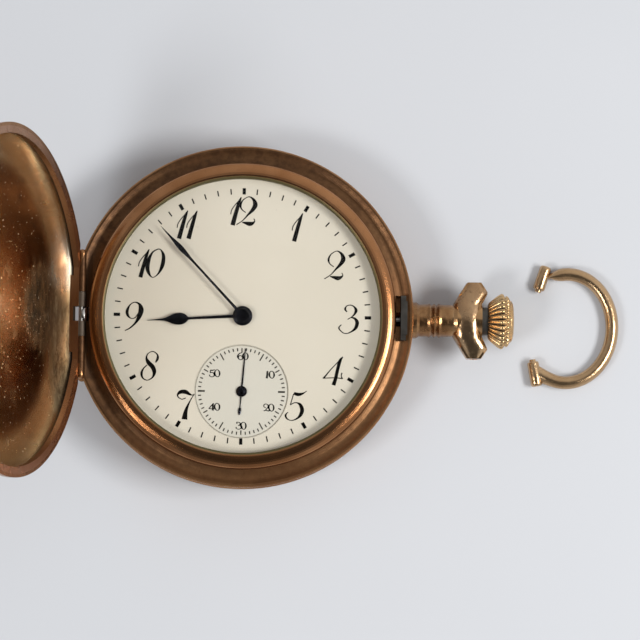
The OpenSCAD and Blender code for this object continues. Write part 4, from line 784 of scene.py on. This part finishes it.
# %% Seconds figures
figure_places = {"60": (0.1, 5.15), "i0": (4.1, 2.5), "20": (4.0, -2.3), "30": (0.0, -5.0),
                 "40": (-3.95, -2.3), "50": (-3.95, 2.6)}
draft = Draft()
for text, (dx, dy) in figure_places.items():
    write(draft, text, (sub_at[0] + dx, sub_at[1] + dy), 1.06, sub_top, 1.5, 0.10, slant=-0.3,
          steps=4, wide=1.3)
draft.piece("seconds_figures", "case", "enamel", black_ink)

# %% Ring round the seconds dial, painted grey as the shade of its sunk edge
ring_in, ring_out, ring_steps = 6.66, 6.76, 120
ring = []
for k in range(ring_steps):
    a = 2 * math.pi * k / ring_steps
    for r, h in ((ring_in, 0), (ring_in, ink), (ring_out, ink), (ring_out, 0)):
        ring.append((sub_at[0] + r * math.cos(a), sub_at[1] + r * math.sin(a), sub_top + h))
draft = Draft()
draft.loft(ring, 4, True)
draft.piece("seconds_ring", "case", "enamel", edge_shade_ink)

# %% [markdown]
# ## Hands
#
# The hour hand is a pear with a long needle point, the minute hand a slim leaf, both of black
# polished steel. A flat plate cut to the outline would look like paper. Each hand is lofted through
# stations along its length, with a crowned section, so its top catches a thin line of light, and it
# keeps the height of the CAD hand that it replaces.


# %% A crowned blade on a turned hub
def blade(draft, stations, at, degrees, z, tall):
    """Stations are (distance, half width) along a clock direction; the section is flat below and
    crowned above."""
    out, side = clock(degrees)
    section = [(-1, 0), (-1, .35), (-.72, .72), (-.38, .93), (0, 1), (.38, .93), (.72, .72),
               (1, .35), (1, 0)]
    made = []
    for s, half in smooth_line(stations, 6):
        half = max(half, 0.012)
        rise = tall * min(1, half / 0.2) ** 0.5  # a narrow blade is lower too
        made += [(at[0] + out[0] * s + side[0] * half * u, at[1] + out[1] * s + side[1] * half * u,
                  z + rise * v) for u, v in section]
    draft.loft(made, len(section))


def hand(node, body, at, degrees, lift, tall, stations, hub):
    """A hand in the place of a CAD one. The hub is turned from (radius, height above the CAD
    hand's underside), and the blade's underside lies higher by lift."""
    low = span(node)[0][2]
    draft = Draft()
    blade(draft, stations, at, degrees, low + lift, tall)
    draft.turn([(r, low + h) for r, h in hub], at)
    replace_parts(draft.piece(node + "_blade", body, "blued_steel", blued_steel, 50), node)


# %% Minute hand, hour hand, seconds hand
hand("minute_hand", "centre_train", (0, 0), degrees=316.9, lift=0.02, tall=0.2,
     stations=[(0.3, .22), (4, .19), (9, .17), (11, .19), (12.2, .29), (13.1, .37), (14.1, .32),
               (15.4, .18), (17.7, .02)],
     hub=[(0.55, 0), (1.0, 0), (1.05, .08), (0.98, .22), (0.7, .15), (0.35, .23), (0, .25)])
hand("hour_hand", "hour_work", (0, 0), degrees=266.5, lift=0.02, tall=0.22,
     stations=[(0.5, .26), (3, .22), (6.5, .19), (7.8, .2), (8.05, .38), (8.5, .72), (9.2, .87),
               (10, .76), (10.7, .46), (11.3, .24), (12.1, .13), (13.9, .03)],
     hub=[(0.8, 0), (1.38, 0), (1.44, .08), (1.38, .22), (1.15, .3), (0.8, .3)])
hand("seconds_hand", "seconds_train", sub_at, degrees=4.6, lift=0.01, tall=0.12,
     stations=[(-3.45, .04), (-3.2, .17), (-2.8, .22), (-2.45, .17), (-2.2, .07), (0, .12),
               (3, .12), (6.3, .05)],
     hub=[(0.3, 0), (0.78, 0), (0.8, .05), (0.74, .14), (0.45, .38), (0, .4)])

# %% [markdown]
# ## The polished skin of the lid
#
# The lid is pressed from thin sheet and polished inside, and a mirror shows every flat of a coarse
# mesh. A fine skin is turned just inside the lid: a shallow dome that rolls into the oval shoulder,
# drawn in flat along the hinge like the lid itself. It is drawn shut and then swung open with the
# lid.

# %% The lid's profile
case_r, lid_top, lid_low = 24.99, 13.0, 8.47
roll_z, roll, dome = 9.0, 4.3, 150.0  # where the shoulder starts, how wide it is, the dome's radius
slope = math.asin((case_r - roll) / dome)
rise = lid_top - dome + dome * math.cos(slope) - roll_z
share = roll / rise * math.tan(slope)
sweep = math.acos(share / (1 - share))
roll_wide, roll_tall = roll / (1 - math.cos(sweep)), rise / math.sin(sweep)
dome_steps, roll_steps = 16, 24
print("lid shoulder: sweep", round(math.degrees(sweep), 2), "wide", round(roll_wide, 3),
      "tall", round(roll_tall, 3))


def lid_line(inset):
    """The lid's profile from its middle out to its lip, moved in by inset."""
    line = []
    for k in range(dome_steps):
        a = slope * k / dome_steps
        line.append(((dome - inset) * math.sin(a), lid_top - dome + (dome - inset) * math.cos(a)))
    for k in range(roll_steps + 1):
        t = sweep * (1 - k / roll_steps)
        out = Vector((roll_tall * math.cos(t), roll_wide * math.sin(t))).normalized() * inset
        line.append((case_r - roll_wide + roll_wide * math.cos(t) - out.x,
                     roll_z + roll_tall * math.sin(t) - out.y))
    return line + [(case_r - inset, lid_low)]


# %% Turn the lid's inner skin, flatten it at the hinge and swing it open
skin_out, skin_in = 0.52, 0.505  # both faces of the skin, as insets from the lid's outside
flat_x = -hinge_at[0] - 0.47  # how far from the middle the flat along the hinge is
corner = 60  # how sharply the round turns into that flat
swing = math.radians(lid_open)
draft = Draft()
draft.turn(lid_line(skin_out) + lid_line(skin_in)[::-1], (0, 0), 180)
for k, (x, y, z) in enumerate(draft.points):
    # the round is drawn in along the flat, so the shoulder rolls down beside the hinge as well
    reach = max(0.0, -x / (math.hypot(x, y) or 1)) * (case_r - skin_in) / flat_x
    x, y = [c * (1 + reach ** corner) ** (-1 / corner) for c in (x, y)]
    if x < -21 and abs(y) < 1.7:
        z = max(z, 9.15)  # the lip is filed back where the lift spring's tongue comes up
    dx, dz = x - hinge_at[0], z - hinge_at[2]
    draft.points[k] = (hinge_at[0] + dx * math.cos(swing) - dz * math.sin(swing), y,
                       hinge_at[2] + dx * math.sin(swing) + dz * math.cos(swing))
draft.piece("lid_skin", "lid", "lid_inside", lid_gold)

# %% The lift spring's rounded tongue
# x and z along the tongue, half its width, half its thickness
stations = [(-22.57, 6.3, .9, .11), (-22.57, 7.6, .9, .11), (-22.6, 8.2, .9, .11),
            (-22.75, 8.58, .9, .12), (-23.0, 8.78, .82, .13), (-23.25, 8.87, .62, .12),
            (-23.42, 8.91, .35, .09), (-23.5, 8.92, .1, .04)]
line, sides, made = smooth_line(stations, 5), 16, []
for k, (x, z, half, thick) in enumerate(line):
    p, q = line[max(0, k - 1)], line[min(len(line) - 1, k + 1)]
    along = Vector((q[0] - p[0], 0, q[1] - p[1])).normalized()
    for j in range(sides):
        w = 2 * math.pi * j / sides
        made.append((x - along.z * thick * math.sin(w), half * math.cos(w),
                     z + along.x * thick * math.sin(w)))
draft = Draft()
draft.loft(made, sides)
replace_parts(draft.piece("lift_tongue", "case", "steel", steel), "lift_spring")

# %% Soften the edges of the pendant and the catch
for name, wide in (("pendant", 0.34), ("lock_spring", 0.08)):
    soft = nodes[name].modifiers.new("soft_edges", "BEVEL")
    soft.width, soft.segments = wide * MM, 3
    soft.limit_method, soft.angle_limit = "ANGLE", math.radians(28)
    soft.harden_normals = True
    print("softened", name)

# %% [markdown]
# ## The saddle
#
# On the real pendant the ears don't stand on the neck like plates: they sweep down into it over a
# worn, cushion-like saddle. Two thin covers, one above and one below, are laid over the ears. Each
# row across the watch is a rounded arch that is tall in the middle and low at the ears' ends, and a
# hollow follows the neck, so nothing fills its bore.

# %% The saddle's rows
ear_x, ear_far, neck_half, neck_r = 33.94, 5.6, 2.35, 2.3
saddle_half, rows, arch = 5.5, 45, 24
squareness = 0.667  # below 1 the arch is fuller than an ellipse
pendant_low, pendant_high = span("pendant")
ear_z = (pendant_low[2] + pendant_high[2]) / 2


def saddle_row(y, up):
    """One row at y: the arch out, and the hollow back below it. up is 1 above, -1 below."""
    beyond, from_end = max(0.0, abs(y) - neck_half), max(0, abs(y) - 4.15)
    back = -3.12 + 2 * beyond / (ear_far - neck_half)
    fore = (1.1 + 0.85 * min(1, beyond / 1.8) - 0.95 * from_end / 1.45
            + 0.12 * min(1, beyond / 0.6))
    tall = 1.25 + 1.3 * (1 - (abs(y) / ear_far) ** 1.6)
    hollow = math.sqrt(max(0.0, neck_r ** 2 - y * y))
    line = []
    for j in range(arch + 1):
        c, s = math.cos(math.pi * j / arch), math.sin(math.pi * j / arch)
        reach = math.copysign(abs(c) ** squareness, c)
        line.append((ear_x + (back + fore) / 2 + (fore - back) / 2 * reach,
                     max(tall * abs(s) ** squareness, hollow + 0.005)))
    return ([(x, y, ear_z + up * z) for x, z in line]
            + [(x, y, ear_z + up * hollow) for x, z in line[::-1]])


# %% Lay the saddle over the ears
draft = Draft()
for up in (1, -1):
    places = [saddle_half * (2 * i / (rows - 1) - 1) for i in range(rows)]
    draft.loft([point for y in places for point in saddle_row(y, up)], 2 * arch + 2)
draft.piece("pendant_saddle", "case", "crown_gold", saddle_gold, 50)
print("saddle about height", round(ear_z, 3))

# %% [markdown]
# ## The crown
#
# The winding crown is a fluted button: rounded ribs run from the pendant side out to the widest
# point, pinch in, and end in a ring of beads before a plain rounded rim. It is turned like a lathe
# job whose radius also follows the angle, which gives ribs that are round on top and meet in sharp
# grooves.

# %% Turn the crown about the x axis
crown_x, crown_long = crown_low[0], crown_high[0] - crown_low[0]
crown_z = (crown_low[2] + crown_high[2]) / 2
per_rib, rib_share = 12, 0.84  # points round each rib, and how much of its share is not groove
# distance from the inner face, groove radius, rib height
crown_profile = [
    (0.0, 0.9, 0), (0.0, 2.3, 0), (0.05, 2.42, .02), (0.2, 2.5, .22), (0.6, 2.78, .30),
    (1.1, 3.15, .34), (1.6, 3.5, .36), (2.0, 3.72, .36), (2.25, 3.74, .30), (2.4, 3.66, .18),
    (2.5, 3.58, .08), (2.6, 3.52, .12), (2.72, 3.48, .26), (2.9, 3.4, .33), (3.05, 3.3, .28),
    (3.18, 3.2, .12), (3.26, 3.12, .02), (3.36, 3.1, 0), (3.5, 3.02, 0), (3.65, 2.8, 0),
    (3.76, 2.4, 0), (3.8, 1.9, 0), (3.8, 0.0, 0)]
around, made = crown_ribs * per_rib, []
for x, groove, rib in crown_profile:
    for k in range(around):
        share = 2 * ((k / per_rib) % 1) - 1
        r = max(0.001, groove + rib * math.sqrt(1 - min(1, abs(share) / rib_share) ** 2))
        a = 2 * math.pi * k / around
        made.append((crown_x + min(x, crown_long), r * math.cos(a), crown_z + r * math.sin(a)))
draft = Draft()
draft.loft(made, around)
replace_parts(draft.piece("fluted_crown", "crown", "crown_gold", ribbed_gold, 55), "crown")

# %% [markdown]
# ## The bow
#
# The bow is a bent rod that swells into two short barrels, each with a peg that went into the
# pendant's ears. It is swept: a ring of points is carried along the oval, square to the path, and
# widens near both ends.

# %% The bow's sizes
bow_at, bow_turn = Vector((47.97, -0.5, 0.95)), math.radians(-4)
bow_rx, bow_ry, rod = 6.7, 8.05, 0.95
end_x, end_y, splay = -4.161, 7.131, math.radians(14.4)  # a barrel's middle and how it is turned
end_angle = math.pi - math.asin((end_y - 0.35) / bow_ry)
print("bow at", bow_at, "its rod ends", round(math.degrees(end_angle), 1), "degrees from its top")


def on_table(x, y, z):
    """From the bow's own axes to the frame."""
    c, s = math.cos(bow_turn), math.sin(bow_turn)
    return (bow_at.x + c * x - s * y, bow_at.y + s * x + c * y, bow_at.z + z)


# %% Sweep the rod
draft = Draft()
steps, sides, made = 120, 24, []
for i in range(steps + 1):
    u = i / steps
    a = end_angle * (2 * u - 1)
    x, y = bow_rx * math.cos(a), bow_ry * math.sin(a)
    tx, ty = -bow_rx * math.sin(a), bow_ry * math.cos(a)
    size = math.hypot(tx, ty)
    # over the last part the rod flattens along its barrel and sinks into it
    joint = max(0, 1 - min(u, 1 - u) / 0.09) ** 1.5
    side = 1 if u > 0.5 else -1
    now = (x, y, -ty / size, tx / size, rod, rod)
    then = (end_x + 0.25, side * (end_y - 0.1), side * math.sin(splay), math.cos(splay), 1.45, 0.62)
    x, y, nx, ny, wide, flat = [p + joint * (q - p) for p, q in zip(now, then)]
    for j in range(sides):
        w = 2 * math.pi * j / sides
        across = wide * math.cos(w)
        made.append(on_table(x + nx * across, y + ny * across, flat * math.sin(w)))
draft.loft(made, sides)

# %% Turn the barrels with their pegs
# radius, and height along the barrel
barrel = [(0.0, -1.85), (0.5, -1.84), (0.74, -1.76), (0.85, -1.55), (0.87, -1.2), (0.87, 1.5),
          (0.83, 1.72), (0.7, 1.83), (0.52, 1.85), (0.5, 1.86), (0.47, 2.16), (0.40, 2.2),
          (0.0, 2.2)]
sides = 32
for side in (1, -1):
    # the barrel points in towards the bow's opening, splayed from the y axis
    dx, dy, made = math.sin(-splay), -side * math.cos(splay), []
    for r, along in barrel:
        r = max(r, 0.001)
        for j in range(sides):
            w = 2 * math.pi * j / sides
            across = r * math.cos(w)
            made.append(on_table(end_x + dx * along + dy * across,
                                 side * end_y + dy * along - dx * across, r * math.sin(w)))
    draft.loft(made, sides)
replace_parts(draft.piece("bent_bow", "bow", "crown_gold", crown_gold, 50), "bow")
